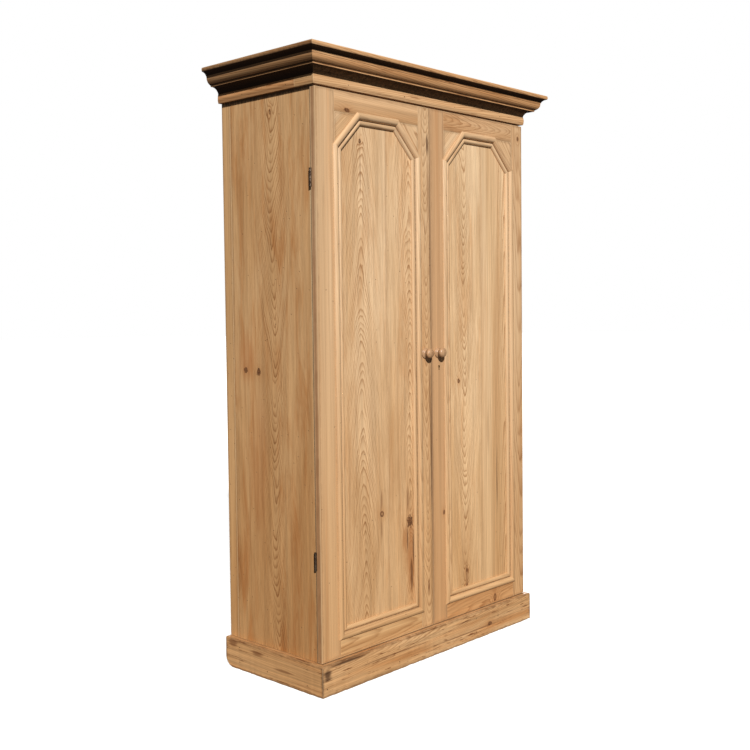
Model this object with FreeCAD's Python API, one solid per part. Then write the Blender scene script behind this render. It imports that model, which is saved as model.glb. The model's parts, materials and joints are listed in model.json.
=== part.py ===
import FreeCAD, Part
import math
import os

# A free-standing pine armoire: a boarded carcass on a plinth, two framed and panelled
# doors on butt hinges, a moulded cornice, and a shelf and a hook rail inside.
# Millimetres. +X runs to the right of the front, +Y to the back, +Z up. The origin is
# the middle of the bounding box on the floor.

V = FreeCAD.Vector

# ---- the whole ----
overall_height = 2000.0
carcass_width = 1068.0            # over the faces of the two sides
carcass_depth = 430.5             # front edges of the sides to the back
board = 20.0                      # thickness of sides, bottom and top
housing = 8.0                     # depth of the grooves that hold bottom and top in the sides
rear_board_width = 42.0           # narrow board glued on along the back of each side

# ---- plinth ----
plinth_height = 100.0
plinth_board = 23.0
plinth_ahead = 18.5               # how far the plinth stands ahead of the door faces
plinth_bevel = 3.0                # worn top edge
side_lift = 6.0                   # the sides stop this far above the floor
front_corner_wear = 22.0          # lost corner, front right
back_corner_wear = 40.0           # lost corner, back left

# ---- cornice ----
cornice_reach = 81.0              # how far its top stands out from the face behind it
cornice_ahead = 70.0              # how far its top stands ahead of the door faces
crown_height = 78.0
frieze_height = 30.0
frieze_thick = 16.0
frieze_round = 2.5                # how far the frieze strip swells in the middle
carcass_top_drop = 8.0            # sides and front rail stop this far below the cornice top

# ---- doors ----
door_thickness = 22.0
door_gap = 1.5                    # back of a closed door to the front edges of the carcass
meeting_gap = 2.5                 # between the two closed doors
door_overhang = 6.0               # a door stands this far past the face of its side
door_foot_gap = 2.0               # above the plinth
door_head_gap = 6.0               # below the frieze strip
left_hinge_stile = 75.0           # widths that show beside the panel moulding
left_meeting_stile = 51.0
right_hinge_stile = 59.0
right_meeting_stile = 67.0
top_rail = 58.0
bottom_rail = 55.0
cant_leg = 110.0                  # leg of the block across each top corner
moulding_width = 40.0
moulding_lap = 8.0                # how far the moulding covers the frame
moulding_rise = 8.0               # its height above the frame
moulding_bead = 17.5              # width of the small inner bead
moulding_quirk = 4.0              # depth of the groove beside the bead
moulding_bead_rise = 1.0          # top of the bead above the frame
panel_thick = 9.0
panel_recess = 8.0                # door face to panel face
groove_depth = 9.0                # groove that holds the panel
panel_play = 1.5                  # room for the panel to swell
tenon_thick = 8.0
tenon_length = 34.0
tenon_shoulder = 12.0             # above and below a tenon

# ---- hinges ----
hinge_length = 58.0
hinge_leaf_width = 24.0
hinge_leaf = 1.6
hinge_offset = 7.0                # pin axis outside the face of the side
knuckle_radius = 4.5
knuckle_count = 5
knuckle_gap = 0.3
hinge_pin_radius = 1.7
running_clearance = 0.05
swing_clearance = 0.5             # round the knuckles, in the wood
upper_hinge_drop = 246.0          # door top to the top of the upper hinge
lower_hinge_rise = 290.0          # door foot to the foot of the lower hinge
screw_radius = 1.6
screw_head_radius = 3.4
screw_length = 13.0
screw_slot = 0.8
screw_pitch = 19.0

# ---- knobs, lock and bolts ----
knob_from_edge = 32.5             # knob centre to the meeting edge of its door
knob_height = 1051.0
knob_head_radius = 16.5
knob_base_radius = 18.0
knob_neck_radius = 10.5
knob_reach = 33.0
knob_tenon_radius = 6.0
knob_tenon_length = 15.0
keyhole_from_edge = 39.5
keyhole_height = 1002.0
keyhole_radius = 4.6
keyhole_slot = 4.0
keyhole_drop = 12.0
lock_width = 62.0
lock_height = 64.0
lock_thick = 12.0
lock_bolt_height = 14.0
lock_bolt_thick = 6.0
lock_bolt_length = 44.0
lock_bolt_rise = 15.0             # bolt middle above the keyhole
lock_throw = 8.0
sliding_clearance = 0.3
strike_thick = 1.2
strike_margin = 12.0
bolt_radius = 3.2
bolt_case_width = 26.0
bolt_case_length = 52.0
bolt_case_thick = 14.0
bolt_from_edge = 28.0             # bolt axis to the meeting edge of the left door
bolt_tail = 30.0                  # rod beyond the case, with the thumb piece
bolt_throw = 12.0
bolt_tip_gap = 2.0
thumb_radius = 3.0
thumb_length = 11.0

# ---- inside ----
back_thick = 12.0
back_rebate = 10.0
back_board_count = 5
tongue = 6.0
tongue_thick = 4.0
head_rail_height = 36.0
head_rail_thick = 20.0
head_overlap = 30.0               # how far the doors cover the head rail
shelf_thick = 18.0
shelf_drop = 200.0                # door top to the top of the shelf
shelf_set_back = 22.0             # shelf edge behind the front edges of the sides
bearer_width = 20.0
bearer_height = 32.0
hook_rail_height = 70.0
hook_rail_thick = 18.0
hook_rail_drop = 12.0             # below the shelf
hook_count = 6
hook_wire = 3.0
hook_reach = 30.0
hook_bend = 13.0
hook_plate_height = 48.0
hook_plate_width = 14.0
hook_plate_thick = 2.5

# ---- worked out ----
half_width = carcass_width / 2.0
inside_half = half_width - board
overall_depth = cornice_ahead + door_thickness + door_gap + carcass_depth
back_y = overall_depth / 2.0
front_y = back_y - carcass_depth
door_back_y = front_y - door_gap
door_face_y = door_back_y - door_thickness
back_boards_y = back_y - back_thick
cornice_back_y = door_face_y - cornice_ahead + cornice_reach
plinth_face_y = door_face_y - plinth_ahead
plinth_back_y = plinth_face_y + plinth_board
crown_foot_z = overall_height - crown_height
frieze_foot_z = crown_foot_z - frieze_height
carcass_top_z = overall_height - carcass_top_drop
door_foot_z = plinth_height + door_foot_gap
door_top_z = frieze_foot_z - door_head_gap
door_edge_x = half_width + door_overhang
bottom_z = door_foot_z
bottom_top_z = bottom_z + board
head_foot_z = door_top_z - head_overlap
head_top_z = head_foot_z + head_rail_height
shelf_top_z = door_top_z - shelf_drop
shelf_foot_z = shelf_top_z - shelf_thick
panel_front_y = door_face_y + panel_recess
panel_back_y = panel_front_y + panel_thick
hinge_x = -(half_width + hinge_offset)
hinge_y = front_y - door_gap / 2.0
upper_hinge_z = door_top_z - upper_hinge_drop - hinge_length
lower_hinge_z = door_foot_z + lower_hinge_rise
hinge_feet = [lower_hinge_z, upper_hinge_z]
bolt_y = door_back_y + bolt_case_thick / 2.0 + 1.0
lock_bolt_z = keyhole_height + lock_bolt_rise
lock_bolt_y = door_back_y - lock_thick / 2.0
moulding_torus = moulding_width - moulding_bead


# ---- shapes ----
def box(x0, x1, y0, y1, z0, z1):
    return Part.makeBox(x1 - x0, y1 - y0, z1 - z0, V(x0, y0, z0))


def face_of(points):
    return Part.Face(Part.makePolygon(points + points[:1]))


def front_plate(outline, y0, y1):
    """A flat piece whose (x, z) outline is seen from the front."""
    return face_of([V(x, y0, z) for x, z in outline]).extrude(V(0, y1 - y0, 0))


def flat_plate(outline, z0, z1):
    """A flat piece whose (x, y) outline is seen from above."""
    return face_of([V(x, y, z0) for x, y in outline]).extrude(V(0, 0, z1 - z0))


def upright(radius, x, y, z0, z1):
    return Part.makeCylinder(radius, z1 - z0, V(x, y, z0), V(0, 0, 1))


def front_to_back(radius, x, y0, y1, z):
    return Part.makeCylinder(radius, y1 - y0, V(x, y0, z), V(0, 1, 0))


def mirrored(shape):
    return shape.mirror(V(0, 0, 0), V(1, 0, 0))


def line(a, b):
    return Part.LineSegment(a, b).toShape()


def arc(a, middle, b):
    return Part.Arc(a, middle, b).toShape()


def inset(outline, distance):
    """Moves every side of a convex, counter-clockwise outline inward by distance."""
    count = len(outline)
    sides = []
    for i in range(count):
        ax, az = outline[i]
        bx, bz = outline[(i + 1) % count]
        length = math.hypot(bx - ax, bz - az)
        nx = -(bz - az) / length
        nz = (bx - ax) / length
        sides.append((nx, nz, nx * ax + nz * az + distance))
    corners = []
    for i in range(count):
        n0x, n0z, c0 = sides[i - 1]
        n1x, n1z, c1 = sides[i]
        cross = n0x * n1z - n0z * n1x
        corners.append(((c0 * n1z - c1 * n0z) / cross, (n0x * c1 - n1x * c0) / cross))
    return corners


# ---- carcass ----
def knuckle_room(foot_z):
    """The space that a hinge's knuckles take out of the wood round the pin."""
    return upright(knuckle_radius + swing_clearance, hinge_x, hinge_y,
                   foot_z - knuckle_gap, foot_z + hinge_length + knuckle_gap)


def screw_places(foot_z):
    """Centres (x, z) of a leaf's screws."""
    x = hinge_x + (knuckle_radius + hinge_leaf_width) / 2.0
    middle = foot_z + hinge_length / 2.0
    return [(x, middle + k * screw_pitch) for k in (-1, 0, 1)]


def screw_body(x, y, z, into):
    """A countersunk screw with its head flush at y; into is +1 for the carcass, -1 for a door."""
    direction = V(0, into, 0)
    head = Part.makeCone(screw_head_radius, screw_radius, hinge_leaf, V(x, y, z), direction)
    shank_start = V(x, y + into * hinge_leaf, z)
    shank = Part.makeCylinder(screw_radius, screw_length - hinge_leaf, shank_start, direction)
    return head.fuse(shank)


def screw(x, y, z, into):
    y0, y1 = sorted((y - into * 0.1, y + into * hinge_leaf * 0.4))
    slot = box(x - screw_head_radius, x + screw_head_radius, y0, y1,
               z - screw_slot / 2.0, z + screw_slot / 2.0)
    return screw_body(x, y, z, into).cut(slot)


def leaf_room(foot_z, into):
    """The shallow recess a leaf is let into."""
    y = front_y if into > 0 else door_back_y
    y0, y1 = sorted((y, y + into * hinge_leaf))
    return box(hinge_x, hinge_x + hinge_leaf_width, y0, y1, foot_z, foot_z + hinge_length)


def hinge_cuts(into):
    cuts = []
    y = front_y if into > 0 else door_back_y
    for foot_z in hinge_feet:
        cuts.append(knuckle_room(foot_z))
        cuts.append(leaf_room(foot_z, into))
        cuts += [screw_body(x, y, z, into) for x, z in screw_places(foot_z)]
    return cuts


def side_front_board():
    split_y = back_y - rear_board_width
    shape = box(-half_width, -inside_half, front_y, split_y, side_lift, carcass_top_z)
    grooves = [box(-inside_half - housing, -inside_half, front_y, split_y, z, z + board)
               for z in (bottom_z, head_top_z)]
    return shape.cut(grooves + hinge_cuts(1))


def side_rear_board(worn):
    split_y = back_y - rear_board_width
    shape = box(-half_width, -inside_half, split_y, back_y, side_lift, carcass_top_z)
    cuts = [box(-inside_half - housing, -inside_half, split_y, back_boards_y, z, z + board)
            for z in (bottom_z, head_top_z)]
    cuts.append(box(-inside_half - back_rebate, -inside_half, back_boards_y, back_y,
                    side_lift, carcass_top_z))
    if worn:
        cuts.append(worn_back_corner())
    return shape.cut(cuts)


def worn_back_corner():
    """What is missing from the foot of the left side at the back: a rounded-off corner."""
    r = back_corner_wear
    block = box(-half_width - 2 * plinth_board, -inside_half, back_y - r, back_y + 1, -1, r)
    round_part = Part.makeCylinder(r, half_width, V(-half_width - 2 * plinth_board, back_y - r, r),
                                   V(1, 0, 0))
    return block.cut(round_part)


def bottom_board():
    edge = inside_half + housing
    shape = box(-edge, edge, front_y, back_boards_y, bottom_z, bottom_top_z)
    hole = upright(bolt_radius + 2 * sliding_clearance, -meeting_gap / 2.0 - bolt_from_edge, bolt_y,
                   bottom_top_z - bolt_throw - bolt_tip_gap, bottom_top_z)
    return shape.cut(hole)


def top_board():
    edge = inside_half + housing
    return box(-edge, edge, front_y, back_boards_y, head_top_z, head_top_z + board)


def head_rail():
    shape = box(-inside_half, inside_half, front_y, front_y + head_rail_thick,
                head_foot_z, head_top_z)
    hole = upright(bolt_radius + 2 * sliding_clearance, -meeting_gap / 2.0 - bolt_from_edge, bolt_y,
                   head_foot_z, head_foot_z + bolt_throw + bolt_tip_gap)
    return shape.cut(hole)


def top_front_rail():
    return box(-half_width, half_width, cornice_back_y, front_y,
               door_top_z + door_head_gap / 2.0, carcass_top_z)


def back_board(index):
    """One tongued and grooved board of the back."""
    half = inside_half + back_rebate
    width = 2.0 * half / back_board_count
    x0 = -half + index * width
    x1 = x0 + width
    foot_z = side_lift + plinth_bevel
    shape = box(x0, x1, back_boards_y, back_y, foot_z, carcass_top_z)
    tongue_y = back_boards_y + (back_thick - tongue_thick) / 2.0
    if index > 0:
        shape = shape.cut(box(x0, x0 + tongue, tongue_y, tongue_y + tongue_thick,
                              foot_z, carcass_top_z))
    if index < back_board_count - 1:
        shape = shape.fuse(box(x1, x1 + tongue - 1.0, tongue_y, tongue_y + tongue_thick,
                               foot_z, carcass_top_z))
    return shape


# ---- plinth ----
def plinth_corner(x, y, reach):
    """The mitre plane's two ends at a front corner, out to reach."""
    return [(x, y), (x - reach, y - reach)]


def bevelled_bar(p0, p1):
    """Section of a plinth board, as (out, z): out runs from its back to its face."""
    return [(p0, 0.0), (p1, 0.0), (p1, plinth_height - plinth_bevel),
            (p1 - plinth_bevel, plinth_height), (p0, plinth_height)]


def plinth_front():
    reach = half_width + plinth_board
    section = bevelled_bar(0.0, plinth_board)
    start = [V(-reach, plinth_back_y - out, z) for out, z in section]
    shape = face_of(start).extrude(V(2 * reach, 0, 0))
    shape = shape.common(flat_plate([(-half_width, plinth_back_y), (-reach, plinth_face_y),
                                     (reach, plinth_face_y), (half_width, plinth_back_y)],
                                    0, plinth_height))
    r = front_corner_wear
    block = box(reach - r, reach + 1, plinth_face_y - 1, plinth_back_y + 1, -1, r)
    return shape.cut(block.cut(front_to_back(r, reach - r, plinth_face_y - 2, plinth_back_y + 2, r)))


def plinth_side(worn):
    reach = half_width + plinth_board
    section = bevelled_bar(0.0, plinth_board)
    start = [V(-half_width - out, plinth_face_y, z) for out, z in section]
    shape = face_of(start).extrude(V(0, back_y - plinth_face_y, 0))
    shape = shape.common(flat_plate([(-half_width, plinth_back_y), (-half_width, back_y),
                                     (-reach, back_y), (-reach, plinth_face_y)],
                                    0, plinth_height))
    if worn:
        shape = shape.cut(worn_back_corner())
    return shape


def plinth_packing_rail():
    """The rail that brings the plinth face forward of the doors."""
    return box(-half_width, half_width, plinth_back_y, front_y, side_lift, plinth_height)


def plinth_back_rail():
    return box(-inside_half, inside_half, back_boards_y - board, back_boards_y, 0, bottom_z)


# ---- cornice ----
def crown_section(point):
    """The crown moulding from its foot up: cove, fillet, ovolo, cove and top fillet.
    point(out, up) places a point of the section."""
    w = cornice_reach
    h = crown_height
    foot = frieze_thick - frieze_round
    step = foot + 0.40 * (w - foot)
    swell = foot + 0.70 * (w - foot)
    nose = w - 1.5
    wall = 24.0
    edges = [
        line(point(0, 0), point(foot, 0)),
        arc(point(foot, 0), point(foot + 8.0, 0.18 * h), point(step, 0.26 * h)),
        line(point(step, 0.26 * h), point(step, 0.31 * h)),
        line(point(step, 0.31 * h), point(step + 4.0, 0.34 * h)),
        arc(point(step + 4.0, 0.34 * h), point(swell - 3.0, 0.42 * h), point(swell, 0.56 * h)),
        line(point(swell, 0.56 * h), point(swell, 0.60 * h)),
        arc(point(swell, 0.60 * h), point(swell + 5.5, 0.77 * h), point(nose, 0.86 * h)),
        arc(point(nose, 0.86 * h), point(w, 0.93 * h), point(nose, h)),
        line(point(nose, h), point(nose - wall, h)),
        line(point(nose - wall, h), point(0, wall)),
        line(point(0, wall), point(0, 0)),
    ]
    return Part.Face(Part.Wire(edges))


def frieze_section(point):
    """The plain strip under the crown, with a slightly swelling face."""
    face = frieze_thick - frieze_round
    h = frieze_height
    edges = [
        line(point(0, 0), point(face, 0)),
        arc(point(face, 0), point(frieze_thick, 0.45 * h), point(face, h)),
        line(point(face, h), point(0, h)),
        line(point(0, h), point(0, 0)),
    ]
    return Part.Face(Part.Wire(edges))


def front_length(section, foot_z):
    """A length of moulding across the front, mitred at both ends."""
    far = half_width + cornice_reach
    start = section(lambda out, up: V(-far, cornice_back_y - out, foot_z + up))
    shape = start.extrude(V(2 * far, 0, 0))
    tip_y = cornice_back_y - cornice_reach
    room = flat_plate([(-half_width, cornice_back_y), (-far, tip_y), (far, tip_y),
                       (half_width, cornice_back_y)], foot_z, overall_height)
    return shape.common(room)


def side_length(section, foot_z):
    """A length of moulding along the left side, mitred at the front, square at the back."""
    far = half_width + cornice_reach
    tip_y = cornice_back_y - cornice_reach
    start = section(lambda out, up: V(-half_width - out, tip_y, foot_z + up))
    shape = start.extrude(V(0, back_y - tip_y, 0))
    room = flat_plate([(-half_width, cornice_back_y), (-half_width, back_y), (-far, back_y),
                       (-far, tip_y)], foot_z, overall_height)
    return shape.common(room)


# ---- inside ----
def hat_shelf():
    return box(-inside_half, inside_half, front_y + shelf_set_back, back_boards_y,
               shelf_foot_z, shelf_top_z)


def shelf_bearer():
    return box(-inside_half, -inside_half + bearer_width, front_y + shelf_set_back,
               back_boards_y - hook_rail_thick, shelf_foot_z - bearer_height, shelf_foot_z)


def hook_rail():
    top_z = shelf_foot_z - hook_rail_drop
    return box(-inside_half, inside_half, back_boards_y - hook_rail_thick, back_boards_y,
               top_z - hook_rail_height, top_z)


def coat_hook(x):
    """A plate with one forward-curling wire hook that ends in a ball."""
    face_y = back_boards_y - hook_rail_thick
    z = shelf_foot_z - hook_rail_drop - hook_rail_height / 2.0
    plate = box(x - hook_plate_width / 2.0, x + hook_plate_width / 2.0, face_y - hook_plate_thick,
                face_y, z - hook_plate_height / 2.0, z + hook_plate_height / 2.0)
    bend_y = face_y - hook_reach
    arm = Part.makeCylinder(hook_wire, hook_reach, V(x, bend_y, z), V(0, 1, 0))
    ring = Part.Face(Part.Wire(Part.Circle(V(x, bend_y, z), V(0, 1, 0), hook_wire).toShape()))
    bend = ring.revolve(V(x, bend_y, z + hook_bend), V(1, 0, 0), -90)
    tip_y = bend_y - hook_bend
    tip = Part.makeCylinder(hook_wire, hook_bend, V(x, tip_y, z + hook_bend), V(0, 0, 1))
    ball = Part.makeSphere(1.7 * hook_wire, V(x, tip_y, z + 2.0 * hook_bend))
    return plate.fuse([arm, bend, tip, ball])


def coat_hooks():
    pitch = 2.0 * inside_half / hook_count
    return [coat_hook(-inside_half + (k + 0.5) * pitch) for k in range(hook_count)]


# ---- hinges ----
def knuckle_spans(foot_z, own):
    """Heights (z0, z1) of the knuckles with index parity own: 0 for the side, 1 for the door."""
    step = hinge_length / knuckle_count
    spans = []
    for k in range(own, knuckle_count, 2):
        spans.append((foot_z + k * step + knuckle_gap / 2.0,
                      foot_z + (k + 1) * step - knuckle_gap / 2.0))
    return spans


def hinge_leaf_at(foot_z, into):
    """A leaf with its knuckles, bored for the pin and drilled for its screws."""
    own = 0 if into > 0 else 1
    y = front_y if into > 0 else door_back_y
    y0, y1 = sorted((y, y + into * hinge_leaf))
    plate_x = hinge_x + knuckle_radius + swing_clearance
    leaf = box(plate_x, hinge_x + hinge_leaf_width, y0, y1, foot_z, foot_z + hinge_length)
    bore = hinge_pin_radius if into > 0 else hinge_pin_radius + running_clearance
    parts = []
    for z0, z1 in knuckle_spans(foot_z, own):
        parts.append(upright(knuckle_radius, hinge_x, hinge_y, z0, z1))
        parts.append(box(hinge_x, plate_x, y0, y1, z0, z1))
    leaf = leaf.fuse(parts)
    cuts = [upright(bore, hinge_x, hinge_y, foot_z - 1, foot_z + hinge_length + 1)]
    cuts += [screw_body(x, y, z, into) for x, z in screw_places(foot_z)]
    return leaf.cut(cuts)


def hinge_leaves(into):
    return [hinge_leaf_at(foot_z, into) for foot_z in hinge_feet]


def hinge_pins():
    return [upright(hinge_pin_radius, hinge_x, hinge_y, foot_z, foot_z + hinge_length)
            for foot_z in hinge_feet]


def hinge_screws(into):
    y = front_y if into > 0 else door_back_y
    return [screw(x, y, z, into) for foot_z in hinge_feet for x, z in screw_places(foot_z)]


# ---- doors: made as the left door; the right one is mirrored ----
class Door:
    """The outlines of a door, seen from the front with its hinges at the left."""

    def __init__(self, hinge_stile, meeting_stile):
        self.x0 = -door_edge_x
        self.x1 = -meeting_gap / 2.0
        left = self.x0 + hinge_stile
        right = self.x1 - meeting_stile
        foot = door_foot_z + bottom_rail
        top = door_top_z - top_rail
        self.moulding = [(left, foot), (right, foot), (right, top - cant_leg),
                         (right - cant_leg, top), (left + cant_leg, top), (left, top - cant_leg)]
        self.opening = inset(self.moulding, moulding_lap)
        self.groove = inset(self.opening, -groove_depth)
        self.panel = inset(self.opening, panel_play - groove_depth)
        self.left = left + moulding_lap
        self.right = right - moulding_lap
        self.foot = foot + moulding_lap
        self.top = top - moulding_lap


def panel_groove(door):
    return front_plate(door.groove, panel_front_y, panel_back_y)


def tenons(door, foot_z, top_z, room=0.0):
    """The two stub tenons of a rail that reaches from foot_z to top_z."""
    middle = (door_face_y + door_back_y) / 2.0
    y0 = middle - tenon_thick / 2.0 - room
    y1 = middle + tenon_thick / 2.0 + room
    z0 = foot_z + tenon_shoulder - room
    z1 = top_z - tenon_shoulder + room
    reach = tenon_length + room
    return [box(door.left - reach, door.left, y0, y1, z0, z1),
            box(door.right, door.right + reach, y0, y1, z0, z1)]


def rail_mortises(door):
    room = 0.1
    return (tenons(door, door_foot_z, door.foot, room) + tenons(door, door.top, door_top_z, room))


def door_top_rail(door):
    shape = box(door.left, door.right, door_face_y, door_back_y, door.top, door_top_z)
    return shape.cut(panel_groove(door)).fuse(tenons(door, door.top, door_top_z))


def door_bottom_rail(door):
    shape = box(door.left, door.right, door_face_y, door_back_y, door_foot_z, door.foot)
    return shape.cut(panel_groove(door)).fuse(tenons(door, door_foot_z, door.foot))


def hinge_stile(door):
    shape = box(door.x0, door.left, door_face_y, door_back_y, door_foot_z, door_top_z)
    return shape.cut([panel_groove(door)] + rail_mortises(door) + hinge_cuts(-1))


def knob_centre_x(door):
    return door.x1 - knob_from_edge


def meeting_stile(door, with_lock):
    shape = box(door.right, door.x1, door_face_y, door_back_y, door_foot_z, door_top_z)
    knob_hole = front_to_back(knob_tenon_radius, knob_centre_x(door), door_face_y,
                              door_face_y + knob_tenon_length, knob_height)
    cuts = [panel_groove(door), knob_hole] + rail_mortises(door)
    if with_lock:
        cuts.append(lock_block(door))
        cuts.append(keyhole(door))
    else:
        cuts += strike_cuts(door)
    return shape.cut(cuts)


def corner_blocks(door):
    """The triangular blocks across the two top corners of the frame."""
    right_low, right_high, left_high, left_low = door.opening[2:6]
    blocks = [front_plate([right_low, (door.right, door.top), right_high],
                          door_face_y, door_back_y),
              front_plate([left_low, left_high, (door.left, door.top)],
                          door_face_y, door_back_y)]
    return [block.cut(panel_groove(door)) for block in blocks]


def door_panel(door):
    return front_plate(door.panel, panel_front_y, panel_back_y)


def moulding_section(point):
    """A broad round, a deep groove and a smaller round down to the panel.
    point(along, up) places a point of the section, up from the frame face."""
    bead = moulding_torus + 2.0
    edges = [
        line(point(0, 0), point(0, 1.0)),
        arc(point(0, 1.0), point(0.48 * moulding_torus, moulding_rise), point(moulding_torus, -1.0)),
        line(point(moulding_torus, -1.0), point(moulding_torus + 0.5, -moulding_quirk)),
        line(point(moulding_torus + 0.5, -moulding_quirk), point(bead, -moulding_quirk)),
        arc(point(bead, -moulding_quirk),
            point(bead + 0.45 * (moulding_width - bead), moulding_bead_rise),
            point(moulding_width, -panel_recess)),
        line(point(moulding_width, -panel_recess), point(moulding_lap, -panel_recess)),
        line(point(moulding_lap, -panel_recess), point(moulding_lap, 0)),
        line(point(moulding_lap, 0), point(0, 0)),
    ]
    return Part.Face(Part.Wire(edges))


def panel_moulding(door):
    """One mitred length for each side of the panel."""
    outer = door.moulding
    inner = inset(outer, moulding_width)
    count = len(outer)
    lengths = []
    for i in range(count):
        ax, az = outer[i]
        bx, bz = outer[(i + 1) % count]
        span = math.hypot(bx - ax, bz - az)
        nx = -(bz - az) / span
        nz = (bx - ax) / span
        section = moulding_section(
            lambda along, up: V(ax + nx * along, door_face_y - up, az + nz * along))
        length = section.extrude(V(bx - ax, 0, bz - az))
        room = front_plate([outer[i], outer[(i + 1) % count], inner[(i + 1) % count], inner[i]],
                           door_face_y - 2 * moulding_rise, panel_front_y)
        lengths.append(length.common(room))
    return lengths


def knob(door):
    """A turned knob with its tenon, spun about its own axis."""
    x = knob_centre_x(door)

    def at(radius, out):
        return V(x + radius, door_face_y - out, knob_height)

    base = knob_base_radius
    neck = knob_neck_radius
    head = knob_head_radius
    tenon = knob_tenon_radius
    reach = knob_reach
    rim = 0.72 * head
    dome = 0.08 * reach
    dome_radius = (rim * rim + dome * dome) / (2.0 * dome)
    half_angle = math.asin(rim / dome_radius) / 2.0
    edges = [
        line(at(0, -knob_tenon_length), at(tenon, -knob_tenon_length)),
        line(at(tenon, -knob_tenon_length), at(tenon, 0)),
        line(at(tenon, 0), at(base - 1.0, 0)),
        arc(at(base - 1.0, 0), at(base, 0.08 * reach), at(base - 1.5, 0.15 * reach)),
        arc(at(base - 1.5, 0.15 * reach), at(neck, 0.33 * reach), at(neck + 2.0, 0.48 * reach)),
        arc(at(neck + 2.0, 0.48 * reach), at(head, 0.68 * reach), at(rim, reach - dome)),
        arc(at(rim, reach - dome), at(dome_radius * math.sin(half_angle),
                                      reach - dome_radius * (1.0 - math.cos(half_angle))),
            at(0, reach)),
        line(at(0, reach), at(0, -knob_tenon_length)),
    ]
    return Part.Face(Part.Wire(edges)).revolve(V(x, 0, knob_height), V(0, 1, 0), 360)


# ---- lock, on the right door ----
def lock_block(door):
    return box(door.x1 - lock_width, door.x1, door_back_y - lock_thick, door_back_y,
               keyhole_height - lock_height / 2.0, keyhole_height + lock_height / 2.0)


def keyhole(door):
    x = door.x1 - keyhole_from_edge
    deep_y = door_back_y - lock_thick / 2.0
    slot = box(x - keyhole_slot / 2.0, x + keyhole_slot / 2.0, door_face_y, deep_y,
               keyhole_height - keyhole_drop, keyhole_height)
    return front_to_back(keyhole_radius, x, door_face_y, deep_y, keyhole_height).fuse(slot)


def lock_bolt(door, room=0.0):
    end_x = door.x1 - 0.5
    half_y = lock_bolt_thick / 2.0 + room
    half_z = lock_bolt_height / 2.0 + room
    return box(end_x - lock_bolt_length - room, end_x + (2.0 if room else 0.0),
               lock_bolt_y - half_y, lock_bolt_y + half_y,
               lock_bolt_z - half_z, lock_bolt_z + half_z)


def lock_case(door):
    return lock_block(door).cut([lock_bolt(door, sliding_clearance), keyhole(door)])


# ---- strike plate and bolts, on the left door ----
def strike_hole(door, depth):
    half_y = lock_bolt_thick / 2.0 + 2 * sliding_clearance
    half_z = lock_bolt_height / 2.0 + 2 * sliding_clearance
    return box(door.x1 - depth, door.x1, lock_bolt_y - half_y, lock_bolt_y + half_y,
               lock_bolt_z - half_z, lock_bolt_z + half_z)


def strike_block(door):
    half_y = lock_bolt_thick / 2.0 + 1.5
    half_z = lock_bolt_height / 2.0 + strike_margin
    return box(door.x1 - strike_thick, door.x1, lock_bolt_y - half_y, lock_bolt_y + half_y,
               lock_bolt_z - half_z, lock_bolt_z + half_z)


def strike_cuts(door):
    return [strike_block(door), strike_hole(door, lock_throw + strike_thick)]


def strike_plate(door):
    return strike_block(door).cut(strike_hole(door, strike_thick))


def bolt_axis_x(door):
    return door.x1 - bolt_from_edge


def bolt_case(door, foot_z):
    x = bolt_axis_x(door)
    shape = box(x - bolt_case_width / 2.0, x + bolt_case_width / 2.0, door_back_y,
                door_back_y + bolt_case_thick, foot_z, foot_z + bolt_case_length)
    bore = upright(bolt_radius + running_clearance, x, bolt_y, foot_z, foot_z + bolt_case_length)
    return shape.cut(bore)


def bolt_cases(door):
    return [bolt_case(door, bottom_top_z + bolt_throw),
            bolt_case(door, head_foot_z - bolt_throw - bolt_case_length)]


def door_bolt(door, tip_z, up):
    """A round bolt at rest just short of its hole; up is +1 for the upper one, -1 for the lower."""
    x = bolt_axis_x(door)
    tail_z = tip_z - up * (bolt_throw + bolt_case_length + bolt_tail - bolt_tip_gap)
    z0, z1 = sorted((tip_z, tail_z))
    rod = upright(bolt_radius, x, bolt_y, z0, z1)
    thumb = front_to_back(thumb_radius, x, bolt_y, bolt_y + thumb_length,
                          tail_z + up * 2 * thumb_radius)
    return rod.fuse(thumb)


# ---- writing ----
def door_pieces(side, door, with_lock):
    pieces = {
        "hinge_stile": hinge_stile(door),
        "meeting_stile": meeting_stile(door, with_lock),
        "top_rail": door_top_rail(door),
        "bottom_rail": door_bottom_rail(door),
        "corner_blocks": corner_blocks(door),
        "panel": door_panel(door),
        "panel_moulding": panel_moulding(door),
        "knob": knob(door),
        "hinge_leaves": hinge_leaves(-1),
        "hinge_screws": hinge_screws(-1),
    }
    return {side + "_door_" + name: shape for name, shape in pieces.items()}


def flipped(shape):
    if isinstance(shape, list):
        return [mirrored(one) for one in shape]
    return mirrored(shape)


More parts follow.
